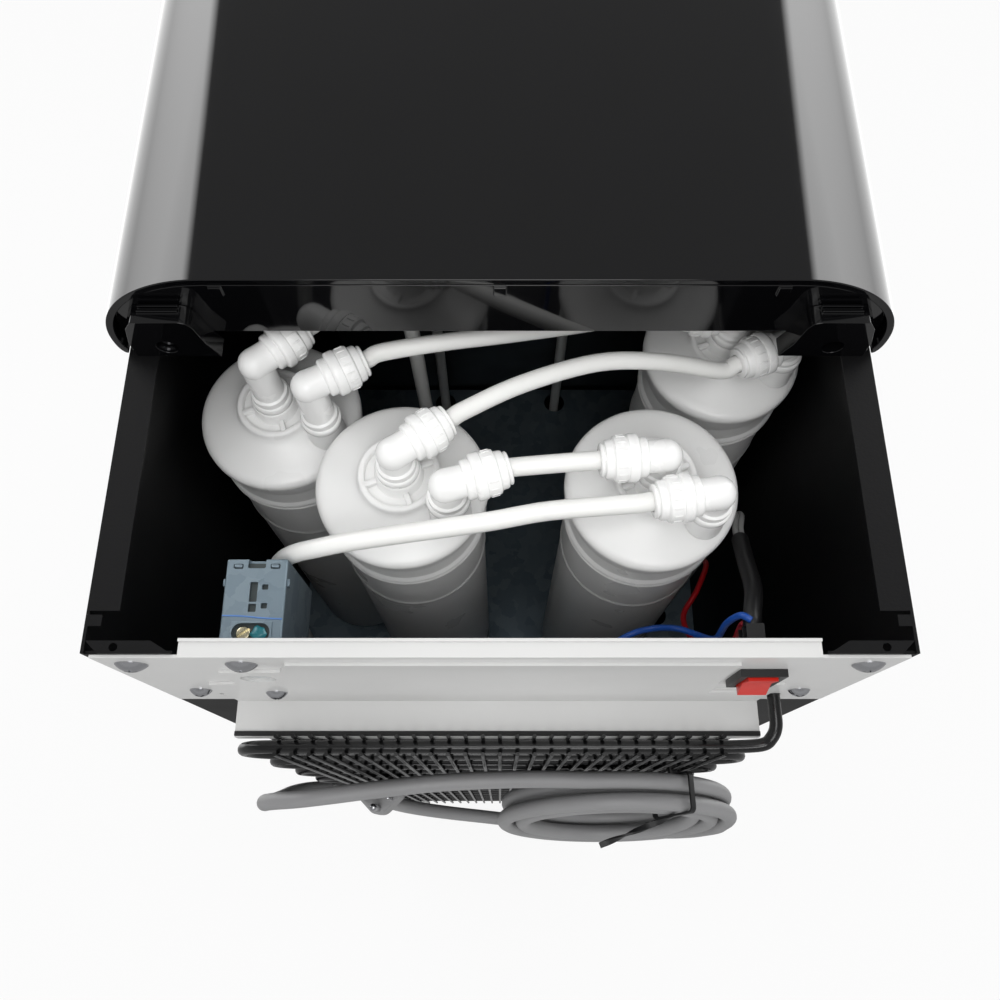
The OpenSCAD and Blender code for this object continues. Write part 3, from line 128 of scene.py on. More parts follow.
def skin(name, colour, tone, roughness, grain, depth, patch, drift=0, **shader):
    """A moulded or painted surface. Grain and patch are sizes in mm, depth the relief of the grain in mm,
    drift the relief in mm of slow waves as wide as the patches."""
    material, tree, place = blank(name)
    broad, fine = noise(tree, place, patch, 3), noise(tree, place, grain)
    tint = blend(tree, broad, linear(colour), linear(tone))
    rough = ramp(tree, broad, 0.3, 0.7, *roughness)
    normal = bump(tree, fine, depth)
    if drift:
        normal = bump(tree, broad, drift, Normal=normal)
    close(tree, {"Base Color": tint, "Roughness": rough, "Normal": normal, **shader})
    return material


def galvanised(name, colour, tone, roughness):
    """Hot dipped sheet: zinc crystals about 7 mm wide that differ a little in grey and in shine."""
    material, tree, place = blank(name)
    bent = add(tree, "TexNoise", {"Vector": place, "Scale": 220, "Detail": 2}).outputs[1]
    grains = add(tree, "TexVoronoi", {"Vector": blend(tree, 0.006, place, bent), "Scale": 1000 / 7})
    part = add(tree, "SeparateColor", {"Color": grains.outputs["Color"]}).outputs[0]
    tint = blend(tree, part, linear(colour), linear(tone))
    normal = bump(tree, noise(tree, place, 0.9), 0.006)
    close(
        tree,
        {"Base Color": tint, "Metallic": 0.85, "Roughness": ramp(tree, part, 0, 1, *roughness), "Normal": normal},
    )
    return material


def worked_metal(name, colour, tone, roughness, stretch, grain, depth):
    """Drawn, turned or brushed metal: scratches drawn out along the way the tool went."""
    material, tree, place = blank(name)
    along = add(tree, "Mapping", {"Vector": place, "Scale": stretch}).outputs[0]
    scratches = noise(tree, along, grain, 3)
    tint = blend(tree, noise(tree, place, 24), linear(colour), linear(tone))
    rough = ramp(tree, scratches, 0.3, 0.7, *roughness)
    normal = bump(tree, scratches, depth)
    close(tree, {"Base Color": tint, "Metallic": 1, "Roughness": rough, "Normal": normal})
    return material


def foam_cells(name):
    """Cut polyurethane foam: open cells 1.5 mm wide, yellowed in places."""
    material, tree, place = blank(name)
    cells = add(tree, "TexVoronoi", {"Vector": place, "Scale": 1000 / 1.5}).outputs["Distance"]
    tint = blend(tree, noise(tree, place, 45, 3), linear("#eadfb6"), linear("#d6c288"))
    close(tree, {"Base Color": tint, "Roughness": 0.92, "Normal": bump(tree, cells, 0.4, 0.8)})
    return material


def waxy(weight, depth):
    """Light passes so many metres into the plastic."""
    return {"Subsurface Weight": weight, "Subsurface Radius": (depth,) * 3, "Subsurface Scale": 1}


# The scale of scratches on each axis: even, drawn out along z, a little along z, or along x
EVEN, LONG_Z, SHORT_Z, LONG_X = (1, 1, 1), (1, 1, 0.06), (1, 1, 0.2), (0.04, 1, 1)

# Each finish: the record's slot that it belongs to, what makes it, its values, and what else the shader takes
FINISHES = {
    # Sheet steel with a black textured powder coat: a dense pebble that breaks up every highlight
    "textured powder coat": (
        "black_powder", skin, ("#0d0d0e", "#0f0f10", (0.5, 0.54), 0.8, 0.05, 25), {"Specular IOR Level": 0.14},
    ),
    # Sheet steel with pale satin stoving enamel: soft sheen, faint orange peel
    "pale stoving enamel": (
        "pale_paint", skin, ("#d4d4d3", "#cbcbca", (0.28, 0.38), 1.6, 0.006, 60, 0.01), {"Coat Weight": 0.15},
    ),
    # Sheet steel seen behind the condenser: a pale sheet in shade, painted as dark grey enamel
    "grey enamel with painted shade": ("grey_paint", skin, ("#6a6a6b", "#606061", (0.36, 0.48), 1.4, 0.008, 50), {}),
    # Polished black ABS: deep mirror with a slow moulding wave
    "polished black ABS": (
        "gloss_black", skin, ("#060607", "#08080a", (0.045, 0.08), 3, 0.0006, 28, 0.012), {"IOR": 1.53},
    ),
    # Black moulded polypropylene with a fine spark-eroded grain
    "grained black plastic": (
        "black_plastic", skin, ("#151516", "#1b1b1c", (0.34, 0.46), 0.5, 0.012, 22), {"IOR": 1.49},
    ),
    # Black dip enamel on steel wire: thick, glossy and a little uneven
    "black dip enamel": ("black_enamel", skin, ("#0a0a0b", "#101011", (0.16, 0.26), 2.2, 0.02, 15), {"IOR": 1.52}),
    # Moulded black rubber: dull, with a bloom of grey
    "moulded rubber": ("rubber", skin, ("#19191a", "#242424", (0.62, 0.78), 0.6, 0.02, 12), {"IOR": 1.52}),
    # Moulded white polypropylene: waxy, light passes a little way in
    "white polypropylene": (
        "white_plastic", skin, ("#f0f0ef", "#e9e9e8", (0.26, 0.36), 1.2, 0.004, 30, 0.01), waxy(0.25, 0.005),
    ),
    # Moulded white acetal of the fittings: brighter and smoother than the filters
    "white acetal": (
        "white_plastic", skin, ("#f5f5f4", "#efefee", (0.2, 0.3), 0.9, 0.003, 14, 0.006), waxy(0.1, 0.003),
    ),
    # Drawn polyethylene tube: milky, soft shine along its length
    "milky polyethylene": (
        "white_tube", skin, ("#efefed", "#e6e6e3", (0.28, 0.4), 2, 0.004, 24, 0.01), waxy(0.15, 0.003),
    ),
    # Galvanised sheet of the thermostat box: cool bluish zinc
    "galvanised sheet": ("galvanised", galvanised, ("#8b9aa4", "#788791", (0.42, 0.55)), {}),
    # Bright zinc plate on the screws: nearly a mirror
    "bright zinc": ("screw_steel", worked_metal, ("#b9babd", "#a8a9ad", (0.12, 0.2), EVEN, 1.1, 0.004), {}),
    # Drawn copper line, browned here and there
    "drawn copper": ("copper", worked_metal, ("#c9825a", "#a8603e", (0.24, 0.4), LONG_Z, 0.7, 0.006), {}),
    # Brushed stainless steel: hairlines along the brush
    "brushed stainless": ("stainless", worked_metal, ("#c8c9cb", "#b6b8ba", (0.24, 0.38), LONG_X, 0.5, 0.008), {}),
    # Cut polyurethane foam: open cells, yellowed in places
    "polyurethane foam": ("foam", foam_cells, (), {}),
    # Glass filled nylon in blue
    "blue nylon": ("blue_plastic", skin, ("#1b4f9c", "#164386", (0.3, 0.42), 0.7, 0.01, 18), {"IOR": 1.53}),
    # Red polycarbonate: clean colour with a soft shine
    "red polycarbonate": ("red_plastic", skin, ("#d01f0c", "#bf1a0a", (0.3, 0.42), 0.9, 0.004, 10), {"IOR": 1.58}),
    # Phenolic body of the thermostat: dull grey green with specks of filler
    "grey green phenolic": (
        "grey_green_plastic", skin, ("#313b3b", "#262f30", (0.42, 0.56), 0.5, 0.015, 8), {"IOR": 1.6},
    ),
    # Nickel plated brass of the screw and the pins: pale, warm
    "nickel plated brass": (
        "pale_brass", worked_metal, ("#d9d2b8", "#c9bf9e", (0.16, 0.28), SHORT_Z, 0.6, 0.004), {},
    ),
    # PVC sheath of the mains lead: mid grey, soft satin
    "grey PVC lead": ("cord_grey", skin, ("#8f8f90", "#838384", (0.38, 0.5), 1.4, 0.012, 34, 0.03), {"IOR": 1.53}),
    # PVC sheaths of the wires
    "red PVC wire": ("wire_colours", skin, ("#b3121a", "#9c0f16", (0.3, 0.4), 1.1, 0.006, 12), {}),
    "blue PVC wire": ("wire_colours", skin, ("#0f4fae", "#0c4393", (0.3, 0.4), 1.1, 0.006, 12), {}),
    "grey PVC wire": ("wire_colours", skin, ("#a5a5a4", "#979796", (0.36, 0.46), 1.1, 0.006, 12), {}),
    # Marker ink and sealing paint: thin, a little uneven at its edge
    "blue marker ink": ("wire_colours", skin, ("#3f74c4", "#6f97cf", (0.4, 0.55), 0.4, 0.01, 3), {}),
    "green sealing paint": ("grey_green_plastic", skin, ("#2b7e88", "#20666f", (0.2, 0.34), 1.4, 0.05, 3), {}),
}

# Nodes that get a rounded copy: the body, the width of the rounding in mm, and the nodes
ROUNDED = (
    ("case", 0.3, "left_side_panel right_side_panel rear_upper_panel rear_lower_panel condenser_channel"),
    ("case", 0.9, "front_fascia lower_front_panel"),
    ("case", 0.6, "alcove_liner rocker_bezel"),
    ("case", 1.2, "feet"),
    ("lid", 0.7, "lid_corner_blocks"),
    ("lid", 0.4, "lid_runners lid_rear_wall"),
    ("rocker", 0.6, "rocker_key"),
    ("cold_paddle", 1, "cold_lever"),
    ("hot_paddle", 1, "hot_lever"),
    ("tray", 1, "drip_tray"),
    ("grille", 0.4, "drip_grille"),
)

# What each CAD node is made of, where it shows itself
NODE_FINISHES = {
    "textured powder coat": "left_side_panel right_side_panel",
    "pale stoving enamel": "rear_upper_panel condenser_channel",
    # The rear lower panel's dark grey is painted shade
    "grey enamel with painted shade": "rear_lower_panel",
    "polished black ABS": "front_fascia lower_front_panel top_lid lid_rear_wall lid_corner_blocks",
    "grained black plastic": "alcove_liner lid_runners rocker_bezel wire_sleeve strain_relief "
    "cord_tie tap_spouts drip_tray",
    "black dip enamel": "condenser_tube condenser_wires compressor",
    "moulded rubber": "feet compressor_mounts",
    "white polypropylene": "filter_1 filter_2 filter_3 filter_4 filter_caps",
    "white acetal": "elbow_fittings inlet_fitting",
    "milky polyethylene": "supply_tube filter_tube_1 filter_tube_2 filter_tube_3 tank_feed_tube tap_hoses",
    "galvanised sheet": "base_pan filter_deck tank_shelf thermostat_box",
    "bright zinc": "panel_screws",
    "drawn copper": "filter_drier refrigerant_lines evaporator_coil",
    "brushed stainless": "cold_tank hot_tank heater_band drip_grille",
    "polyurethane foam": "tank_insulation",
    "blue nylon": "inlet_valve cold_lever",
    "red polycarbonate": "rocker_key hot_lever child_lock",
    "grey green phenolic": "thermostat_body",
    "nickel plated brass": "thermostat_screw",
    "grey PVC lead": "power_cord power_cord_coil power_plug",
    "grey PVC wire": "wiring",
}


def finish(name):
    """The material of a finish, made once."""
    _, make, values, more = FINISHES[name]
    return bpy.data.materials.get(name) or make(name, *values, **more)


# Shapes


def turned(profile, steps):
    """Turns a profile of (radius, height) points about the upright axis."""
    shape = bmesh.new()
    points = [shape.verts.new((r, 0, z)) for r, z in profile]
    edges = [shape.edges.new(pair) for pair in zip(points, points[1:])]
    bmesh.ops.spin(
        shape,
        geom=points + edges,
        cent=(0, 0, 0),
        axis=(0, 0, 1),
        angle=2 * pi,
        steps=steps,
        use_merge=True,
    )
    bmesh.ops.remove_doubles(shape, verts=shape.verts, dist=1e-5)
    bmesh.ops.recalc_face_normals(shape, faces=shape.faces)
    return shape


def bevelled(shape, edges, width, segments, clamp=False):
    bmesh.ops.bevel(
        shape, geom=edges, offset=width, segments=segments, profile=0.5, affect="EDGES", material=-1,
        clamp_overlap=clamp,
    )
    return shape


def reaching(shape, axis):
    """The edges that run along an axis."""
    return [e for e in shape.edges if abs((e.verts[0].co - e.verts[1].co)[axis]) > 0.5]


def quarter(steps):
    """The angles of a quarter turn in so many steps."""
    return [radians(90 * i / steps) for i in range(steps + 1)]


def eased(shape, width, segments=2, angle=30, clamp=False):
    """Rounds every edge that is sharper than the angle."""
    sharp = [e for e in shape.edges if len(e.link_faces) == 2 and e.calc_face_angle() > radians(angle)]
    return bevelled(shape, sharp, width, segments, clamp)


def block(low, high, round_off=0, segments=2):
    """A box between two corners, with its edges rounded."""
    shape = bmesh.new()
    low, high = Vector(low), Vector(high)
    size = high - low
    bmesh.ops.create_cube(shape, size=1.0)
    bmesh.ops.scale(shape, vec=size, verts=shape.verts)
    bmesh.ops.translate(shape, vec=(low + high) / 2, verts=shape.verts)
    return eased(shape, round_off, segments) if round_off else shape


def drawn(outline, depth, round_off, segments):
    """An outline of (x, y) points drawn up to a height."""
    shape = bmesh.new()
    points = [shape.verts.new((x, y, 0)) for x, y in outline]
    shape.faces.new(points)
    made = bmesh.ops.extrude_face_region(shape, geom=shape.faces[:])["geom"]
    bmesh.ops.translate(shape, vec=(0, 0, depth), verts=[v for v in made if isinstance(v, bmesh.types.BMVert)])
    bmesh.ops.recalc_face_normals(shape, faces=shape.faces)
    return eased(shape, round_off, segments)


def placed(name, data):
    """An object with the data, put in the scene."""
    obj = bpy.data.objects.new(name, data)
    bpy.context.scene.collection.objects.link(obj)
    return obj


def mesh_of(name, shape):
    """The mesh of a shape, which is done with after that."""
    mesh = bpy.data.meshes.new(name)
    shape.to_mesh(mesh)
    shape.free()
    return mesh


def joined(*parts):
    """One shape out of several, each given alone or with the matrix that places it."""
    whole = bmesh.new()
    for part in parts:
        shape, place = part if isinstance(part, tuple) else (part, Matrix())
        shape.transform(place)
        held = mesh_of("part", shape)
        whole.from_mesh(held)
        bpy.data.meshes.remove(held)
    return whole


def carved(shape, cutter):
    """Takes one closed shape out of another."""
    both = [placed("carving", mesh_of("carving", part)) for part in (shape, cutter)]
    cut = both[0].modifiers.new("cut", "BOOLEAN")
    cut.object = both[1]
    cut.operation = "DIFFERENCE"
    cut.solver = "EXACT"
    left = bmesh.new()
    left.from_object(both[0], bpy.context.evaluated_depsgraph_get())
    for obj in both:
        held = obj.data
        bpy.data.objects.remove(obj)
        bpy.data.meshes.remove(held)
    return left


def turn(degrees, axis):
    return Matrix.Rotation(radians(degrees), 4, axis)


def shift(place):
    return Matrix.Translation(place)


def flowing(points, steps):
    """A smooth route through points, with so many steps from one to the next."""
    route = []
    for i in range(len(points) - 1):
        a, b = points[max(i - 1, 0)], points[i]
        c, d = points[i + 1], points[min(i + 2, len(points) - 1)]
        bend, twist = 2 * a - 5 * b + 4 * c - d, 3 * b - a - 3 * c + d
        for s in (k / steps for k in range(steps)):
            route.append(0.5 * (2 * b + (c - a) * s + bend * s * s + twist * s**3))
    return route + [points[-1]]


def dress(obj, body, name, replaced):
    """Gives a piece its finish, and lets it ride on its body."""
    obj.data.materials.append(finish(name))
    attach(obj, body)
    if replaced:
        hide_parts(*replaced)
    return obj


def piece(name, shape, body, material, replaced=(), sharp=35, flat=False):
    """Makes a shape in mm a finished piece in metres. Flat keeps wide faces even between their roundings."""
    shape.transform(Matrix.Scale(MM, 4))
    obj = placed(name, mesh_of(name, shape))
    obj.data.shade_smooth()
    obj.data.set_sharp_from_angle(angle=radians(sharp))
    dress(obj, body, material, replaced)
    if flat:
        even = obj.modifiers.new("even normals", "WEIGHTED_NORMAL")
        even.weight, even.keep_sharp = 100, True
    return obj


def run(name, routes, diameter, material, replaced=(), resolution=6, steps=0):
    """Round tubes or wires on the case, as one curve. With steps, it flows smoothly from point to point."""
    curve = bpy.data.curves.new(name, "CURVE")
    curve.dimensions = "3D"
    curve.bevel_depth = diameter / 2 * MM
    curve.bevel_resolution = resolution
    curve.use_fill_caps = True
    for route in routes:
        line = curve.splines.new("BEZIER" if steps else "POLY")
        if steps:
            line.resolution_u = steps
            line.bezier_points.add(len(route) - 1)
            for point, place in zip(line.bezier_points, route):
                point.co = place * MM
                point.handle_left_type = point.handle_right_type = "AUTO"
        else:
            line.points.add(len(route) - 1)
            for point, place in zip(line.points, route):
                point.co = (*(place * MM), 1)
    return dress(placed(name, curve), "case", material, replaced)


# Stage


class CoolerSizes(bpy.types.PropertyGroup):
    """Sizes that may be changed without leaving the CAD model."""

    tube: FloatProperty(
        name="Water tube", description="Outer diameter of the water tubes", default=0.00635, unit="LENGTH", precision=5
    )
    lead: FloatProperty(
        name="Mains lead", description="Diameter of the mains lead", default=0.0072, unit="LENGTH", precision=5
    )
    lid_wall: FloatProperty(
        name="Lid wall", description="Wall of the top lid", default=0.0025, unit="LENGTH", precision=5
    )
    sides: IntProperty(
        name="Steps of a turn", description="How finely the round pieces are turned", default=96, min=24, max=160
    )


class CoolerLight(bpy.types.PropertyGroup):
    """The studio light."""

    key: FloatProperty(name="Key", description="Power of the lamp over the front", default=3.5, subtype="POWER")
    near: FloatProperty(name="Near", description="Power of the lamp by the camera", default=0.5, subtype="POWER")
    fill: FloatProperty(name="Fill", description="Power of the lamp behind the camera", default=5.0, subtype="POWER")
    strips: FloatProperty(name="Strips", description="Power of each lamp at the sides", default=4.0, subtype="POWER")
    top: FloatProperty(name="Top", description="Power of the spot over the filters", default=9.5, subtype="POWER")
    sheets: FloatProperty(
        name="Sheets", description="Brightness of the sheets that the lid's sides mirror", default=5.5
    )
    sweep: FloatProperty(
        name="Sweep", description="Brightness of the sweep in front of the cooler", default=2.2
    )
    floor: FloatVectorProperty(
        name="Floor", description="Colour of the floor", default=linear("#e8e8e8")[:3], subtype="COLOR"
    )


WHITE = (1, 1, 1, 1)
# Share of the floor's own white that the camera sees, and how bright shiny pieces see the floor behind
FLOOR_GLOW, REAR_FLOOR = 0.88, 0.42
# Brightness of the room on dull pieces
SOFT_ROOM = 0.78


def aimed(name, kind, power, place, aim, glossy):
    """Hangs a lamp at a place and points it at another."""
    lamp = bpy.data.lights.new(name, kind)
    lamp.energy = power
    holder = placed(name, lamp)
    holder.location = place
    holder.rotation_euler = (Vector(aim) - Vector(place)).to_track_quat("-Z", "Y").to_euler()
    holder.visible_glossy = glossy
    return lamp


class COOLER_OT_stage(bpy.types.Operator):
    """Sets the camera, the floor, the lamps and the white background"""

    bl_idname = "cooler.stage"
    bl_label = "Stage"

    def execute(self, context):
        scene, light = context.scene, context.scene.cooler_light
        scene.view_settings.view_transform = "Standard"
        # The photo's view, down on the top rear corner
        camera = bpy.data.cameras.new("camera")
        camera.lens, camera.sensor_width = 32.4, 36
        seen = placed("camera", camera)
        seen.location = (0, 0.2664, 1.2763)
        seen.rotation_euler = (radians(20.81), 0, radians(180))
        scene.camera = seen

        shape = bmesh.new()
        bmesh.ops.create_grid(shape, x_segments=4, y_segments=4, size=4.0)
        floor = placed("floor", mesh_of("floor", shape))
        material, tree, place = blank("pale studio floor")
        tone = add(tree, "TexNoise", {"Vector": place, "Scale": 30}).outputs[0]
        rough = ramp(tree, tone, first=0.7, last=0.8)
        lit = add(tree, "BsdfPrincipled", {"Base Color": (*light.floor, 1), "Roughness": rough}).outputs[0]
        glow = add(tree, "Emission", {"Color": WHITE, "Strength": 1}).outputs[0]
        # Shiny pieces see a white sweep in front, and a quieter floor behind
        rear = add(tree, "SeparateXYZ", {0: place}).outputs[1]
        sweep = ramp(tree, rear, -0.5, 0.15, light.sweep, REAR_FLOOR)
        mirrored = add(tree, "Emission", {"Color": WHITE, "Strength": sweep}).outputs[0]
        path = add(tree, "LightPath").outputs
        own_light = add(tree, "MixShader", {0: path["Is Camera Ray"], 1: mirrored, 2: glow}).outputs[0]
        share = add(tree, "Math", {0: path["Is Camera Ray"], 1: FLOOR_GLOW}, operation="MULTIPLY").outputs[0]
        share = add(tree, "Math", {0: share, 1: path["Is Glossy Ray"]}, operation="MAXIMUM").outputs[0]
        both = add(tree, "MixShader", {0: share, 1: lit, 2: own_light}).outputs[0]
        add(tree, "OutputMaterial", {"Surface": both})
        floor.data.materials.append(material)

        world = bpy.data.worlds.new("studio")
        world.use_nodes = True
        scene.world = world
        tree = world.node_tree
        tree.nodes.clear()
        across, along, up = add(tree, "SeparateXYZ", {0: add(tree, "TexCoord").outputs["Generated"]}).outputs
        # Shiny pieces see a dim ceiling overhead and, to both sides of it in front, bright sheets
        aside = add(tree, "Math", {0: across}, operation="ABSOLUTE").outputs[0]
        aside, ahead = ramp(tree, aside, 0.4, 0.47), ramp(tree, along, -0.32, -0.42)
        sheet = ramp(tree, up, 0.5, 0, light.sheets, light.sweep)
        share = add(tree, "Math", {0: aside, 1: ahead}, operation="MULTIPLY").outputs[0]
        ceiling = ramp(tree, up, 0.1, 0.5, 0.5, 0.34)
        level = add(tree, "Mix", {0: share, 2: ceiling, 3: sheet}).outputs[0]
        soft, room, white = (
            add(tree, "Background", {"Color": WHITE, "Strength": strength}).outputs[0]
            for strength in (SOFT_ROOM, level, 1)
        )
        path = add(tree, "LightPath").outputs
        shiny = {0: path["Is Glossy Ray"], 1: path["Is Transmission Ray"]}
        shiny = add(tree, "Math", shiny, operation="MAXIMUM").outputs[0]
        mixed = add(tree, "MixShader", {0: shiny, 1: soft, 2: room}).outputs[0]
        mixed = add(tree, "MixShader", {0: path["Is Camera Ray"], 1: mixed, 2: white}).outputs[0]
        add(tree, "OutputWorld", {"Surface": mixed})

        for name, power, size, place, aim in (
            ("key", light.key, (1, 0.6), (0.1, -0.55, 2.75), (0, 0.08, 1)),
            ("near", light.near, (0.24, 0.2), (0, 0.3, 1.5), (0, 0.16, 0.95)),
            ("fill", light.fill, (0.8, 0.5), (0, 1.15, 2.25), (0, 0.16, 0.9)),
            ("strip left", light.strips, (0.5, 1.4), (1.5, -0.2, 1.25), (0, 0, 0.95)),
            ("strip right", light.strips, (0.5, 1.4), (-1.5, -0.2, 1.25), (0, 0, 0.95)),
        ):
            lamp = aimed(name, "AREA", power, place, aim, name in ("near", "fill"))
            lamp.shape = "RECTANGLE"
            lamp.size, lamp.size_y = size
        spot = aimed("top", "SPOT", light.top, (0, 0.75, 2.35), (0, 0.165, 0.98), False)
        spot.spot_size, spot.spot_blend, spot.shadow_soft_size = radians(9), 0.9, 0.1
        return {"FINISHED"}


# Mains lead, in the plane of its coil: u across, v up along the lean, w out of the plane

OUTLET_X, OUTLET_RISE = 86, -650
RELIEF_DEPTH, RELIEF_LENGTH = -12, 34
COIL_RISE, COIL_TURNS, COIL_STEPS = -190, 4.25, 24
OUTLET, COIL = at(OUTLET_X, 0, OUTLET_RISE), at(-53, -38.7, COIL_RISE)
LEAN = radians(6.6)


def coil_point(u, v, w):
    return COIL + Vector((u, w * cos(LEAN) - v * sin(LEAN), v * cos(LEAN) + w * sin(LEAN)))


def coil_at(t):
    """The lead runs in loop by loop, climbs a layer in half a turn and runs out again."""
    wide, high, turns, step, layer = 55, 59, 1.875, 8.6, 8.2
    drawn_in = step * (t if t < turns else min(turns, 2 * turns + 0.5 - t))
    out = layer * min(max((t - turns) * 2 - 0.5, -0.5), 0.5)
    a = radians(90 + 360 * t)
    return coil_point((wide - drawn_in) * cos(a), (high - drawn_in) * sin(a), out)


def lead_route():
    """The same points as in the CAD source: up from the outlet, round the coil, and down and round to the plug."""
    x, z, top, straight = OUTLET_X, OUTLET_RISE, COIL_RISE, 7.2
    loops = [coil_at(i / COIL_STEPS) for i in range(round(COIL_TURNS * COIL_STEPS) + 1)]
    start = loops[0] + Vector((straight, 0, 0))
    end = loops[-1] - straight * (coil_point(0, 1, 0) - COIL)
    onward = end + 10 * (end - loops[-1]).normalized()
    rise = places(
        (x, RELIEF_DEPTH, z + RELIEF_LENGTH), (x, RELIEF_DEPTH, z + 46), (x + 1, -12.2, z + 62), (91.5, -13, z + 88),
        (98.5, -14.2, z + 118), (103, -15.2, z + 145), (104.5, -16.5, z + 180), (105, -18, top - 230),
        (105.5, -19.5, top - 150), (106, -23, top - 90), (106.3, -28.5, top - 30), (106.2, -33.4, top + 4),
        (106, -35.6, top + 24), (103.4, -36, top + 37.5), (96, -35.9, top + 48.5), (85, -35.5, top + 56),
        (72, -34.2, top + 58.4), (50, -31.5, top + 58.5), (25, -29, top + 58.4), (0, -27.8, top + 58.2),
        (-20, -27.5, top + 58.1),
    )
    fall = places(
        (-106, -45.8, top - 36), (-100, -46.8, top - 56), (-88, -47, top - 74), (-70, -46, top - 87),
        (-46, -44, top - 95), (-18, -41.5, top - 99), (8, -38.8, top - 96), (32, -36.4, top - 88),
        (48, -34.4, top - 74), (56, -33, top - 56), (58, -32.5, top - 42), (58, -32.5, top - 29),
    )
    return rise + [start + Vector((10, 0, 0)), start] + loops + [end, onward] + fall


def strain_relief():
    """A bushing in the panel that turns up into a tapered, ringed sleeve."""
    bushing = [
        (0, -10), (9.2, -10), (10, -9.2), (10, -2), (7, -2), (7, -1), (9.8, -1), (10, -0.6), (10, 2.4), (9.4, 3),
        (6.8, 3), (6.8, 8), (6.8, 12), (0, 12),
    ]
    sleeve = [(0, -7.3), (2.8, -6.75), (5.2, -5.1), (6.7, -2.8), (7.2, 0), (7.2, 4)]
    for k in range(6):
        near, base = 7 - 0.3 * k, 5 + 4 * k
        sleeve += [(near, base), (near, base + 2.2), (near - 0.9, base + 2.6), (near - 0.9, base + 3.6)]
    sleeve += [(5.3, 29.5), (5.2, 33.6), (4.8, 34), (3.5, 34)]
    shape = joined(
        (turned(bushing, 48), shift(OUTLET) @ turn(-90, "X")),
        (turned(sleeve, 48), shift(at(OUTLET_X, RELIEF_DEPTH, OUTLET_RISE))),
    )
    return piece("strain_relief_sleeve", shape, "case", "grained black plastic", ("strain_relief",))


def moulded_plug():
    """The plug stands pins up over its ringed neck."""
    foot = shift(at(58, -32.5, COIL_RISE - 29))
    neck = [(3.5, -1)]
    for k in range(4):
        near, base = 4.1 + 0.35 * k, 3.4 * k
        neck += [(near + 0.4, 0.2 + base), (near + 0.5, 2.2 + base), (near, 2.5 + base), (near, 3.3 + base)]
    neck += [(5.4, 14), (0, 14)]
    shell = drawn([(-11, -6), (11, -6), (11, -1), (2.5, 7.5), (-2.5, 7.5), (-11, -1)], 20.8, 1.6, 3)
    ribs = [
        (block((s * 11.2 - 0.5, -5, 15.5 + 2.4 * k), (s * 11.2 + 0.5, -1.6, 16.5 + 2.4 * k), 0.3), foot)
        for s in (-1, 1) for k in range(5)
    ]
    shape = joined((turned(neck, 32), foot), (shell, foot @ shift(Vector((0, 0, 13)))), *ribs)
    plug = piece("moulded_plug", shape, "case", "grey PVC lead", ("power_plug",))
    pins = [(block((s * 6.35 - 0.75, -5, 33.2), (s * 6.35 + 0.75, 1.4, 51), 0.35), foot) for s in (-1, 1)]
    earth = eased(turned([(0, 33.2), (1.6, 33.2), (1.6, 51.2), (0.9, 52.4), (0, 52.4)], 24), 0.2)
    pins.append((earth, foot @ shift(Vector((0, 5, 0)))))
    return plug, piece("plug_pins", joined(*pins), "case", "bright zinc")


def hollow_band(width, deep, high, corner, wall=1.1):
    """A flat strap closed into a rounded loop."""
    shape = block((-width / 2, -deep / 2, -high / 2), (width / 2, deep / 2, high / 2))
    bevelled(shape, reaching(shape, 0), corner, 4)
    ends = [f for f in shape.faces if abs(f.normal.x) > 0.9]
    bmesh.ops.delete(shape, geom=ends, context="FACES_ONLY")
    bmesh.ops.solidify(shape, geom=shape.faces[:], thickness=wall)
    bmesh.ops.recalc_face_normals(shape, faces=shape.faces)
    return shape


def twist_tie():
    """A flat loop round the strands, a second small one on a condenser wire, and a twisted tail."""
    loop = hollow_band(2.3, 17.4, 26.4, 2.6, 0.9)
    small = hollow_band(4.1, 4, 3.1, 0.8)
    tail = block((0, -0.5, -1.2), (34, 0.5, 1.2))
    bmesh.ops.subdivide_edges(tail, edges=reaching(tail, 0), cuts=28)
    for vert in tail.verts:
        vert.co = turn(8 * vert.co.x, "X") @ vert.co
    hold = shift(coil_point(-22, 45, 0)) @ Matrix.Rotation(LEAN, 4, "X")
    shape = joined(
        (loop, hold @ turn(-30, "Y")),
        (tail, hold @ shift(Vector((0.5, 8.4, -0.2))) @ turn(20, "Z") @ turn(6, "Y")),
        (small, shift(at(-75.6, -22.9, COIL_RISE + 45)) @ turn(90, "Z")),
    )
    return piece("twist_tie", shape, "case", "grained black plastic", ("cord_tie",))


class COOLER_OT_lead(bpy.types.Operator):
    """Makes the mains lead with its strain relief, plug and tie"""

    bl_idname = "cooler.lead"
    bl_label = "Mains lead"

    def execute(self, context):
        width = context.scene.cooler_sizes.lead / MM
        route = lead_route()
        lead = run("mains_lead", [route], width, "grey PVC lead", ("power_cord", "power_cord_coil"), 8, 4)
        relief = strain_relief()
        plug, prongs = moulded_plug()
        tie = twist_tie()
        return {"FINISHED"}


# Lid


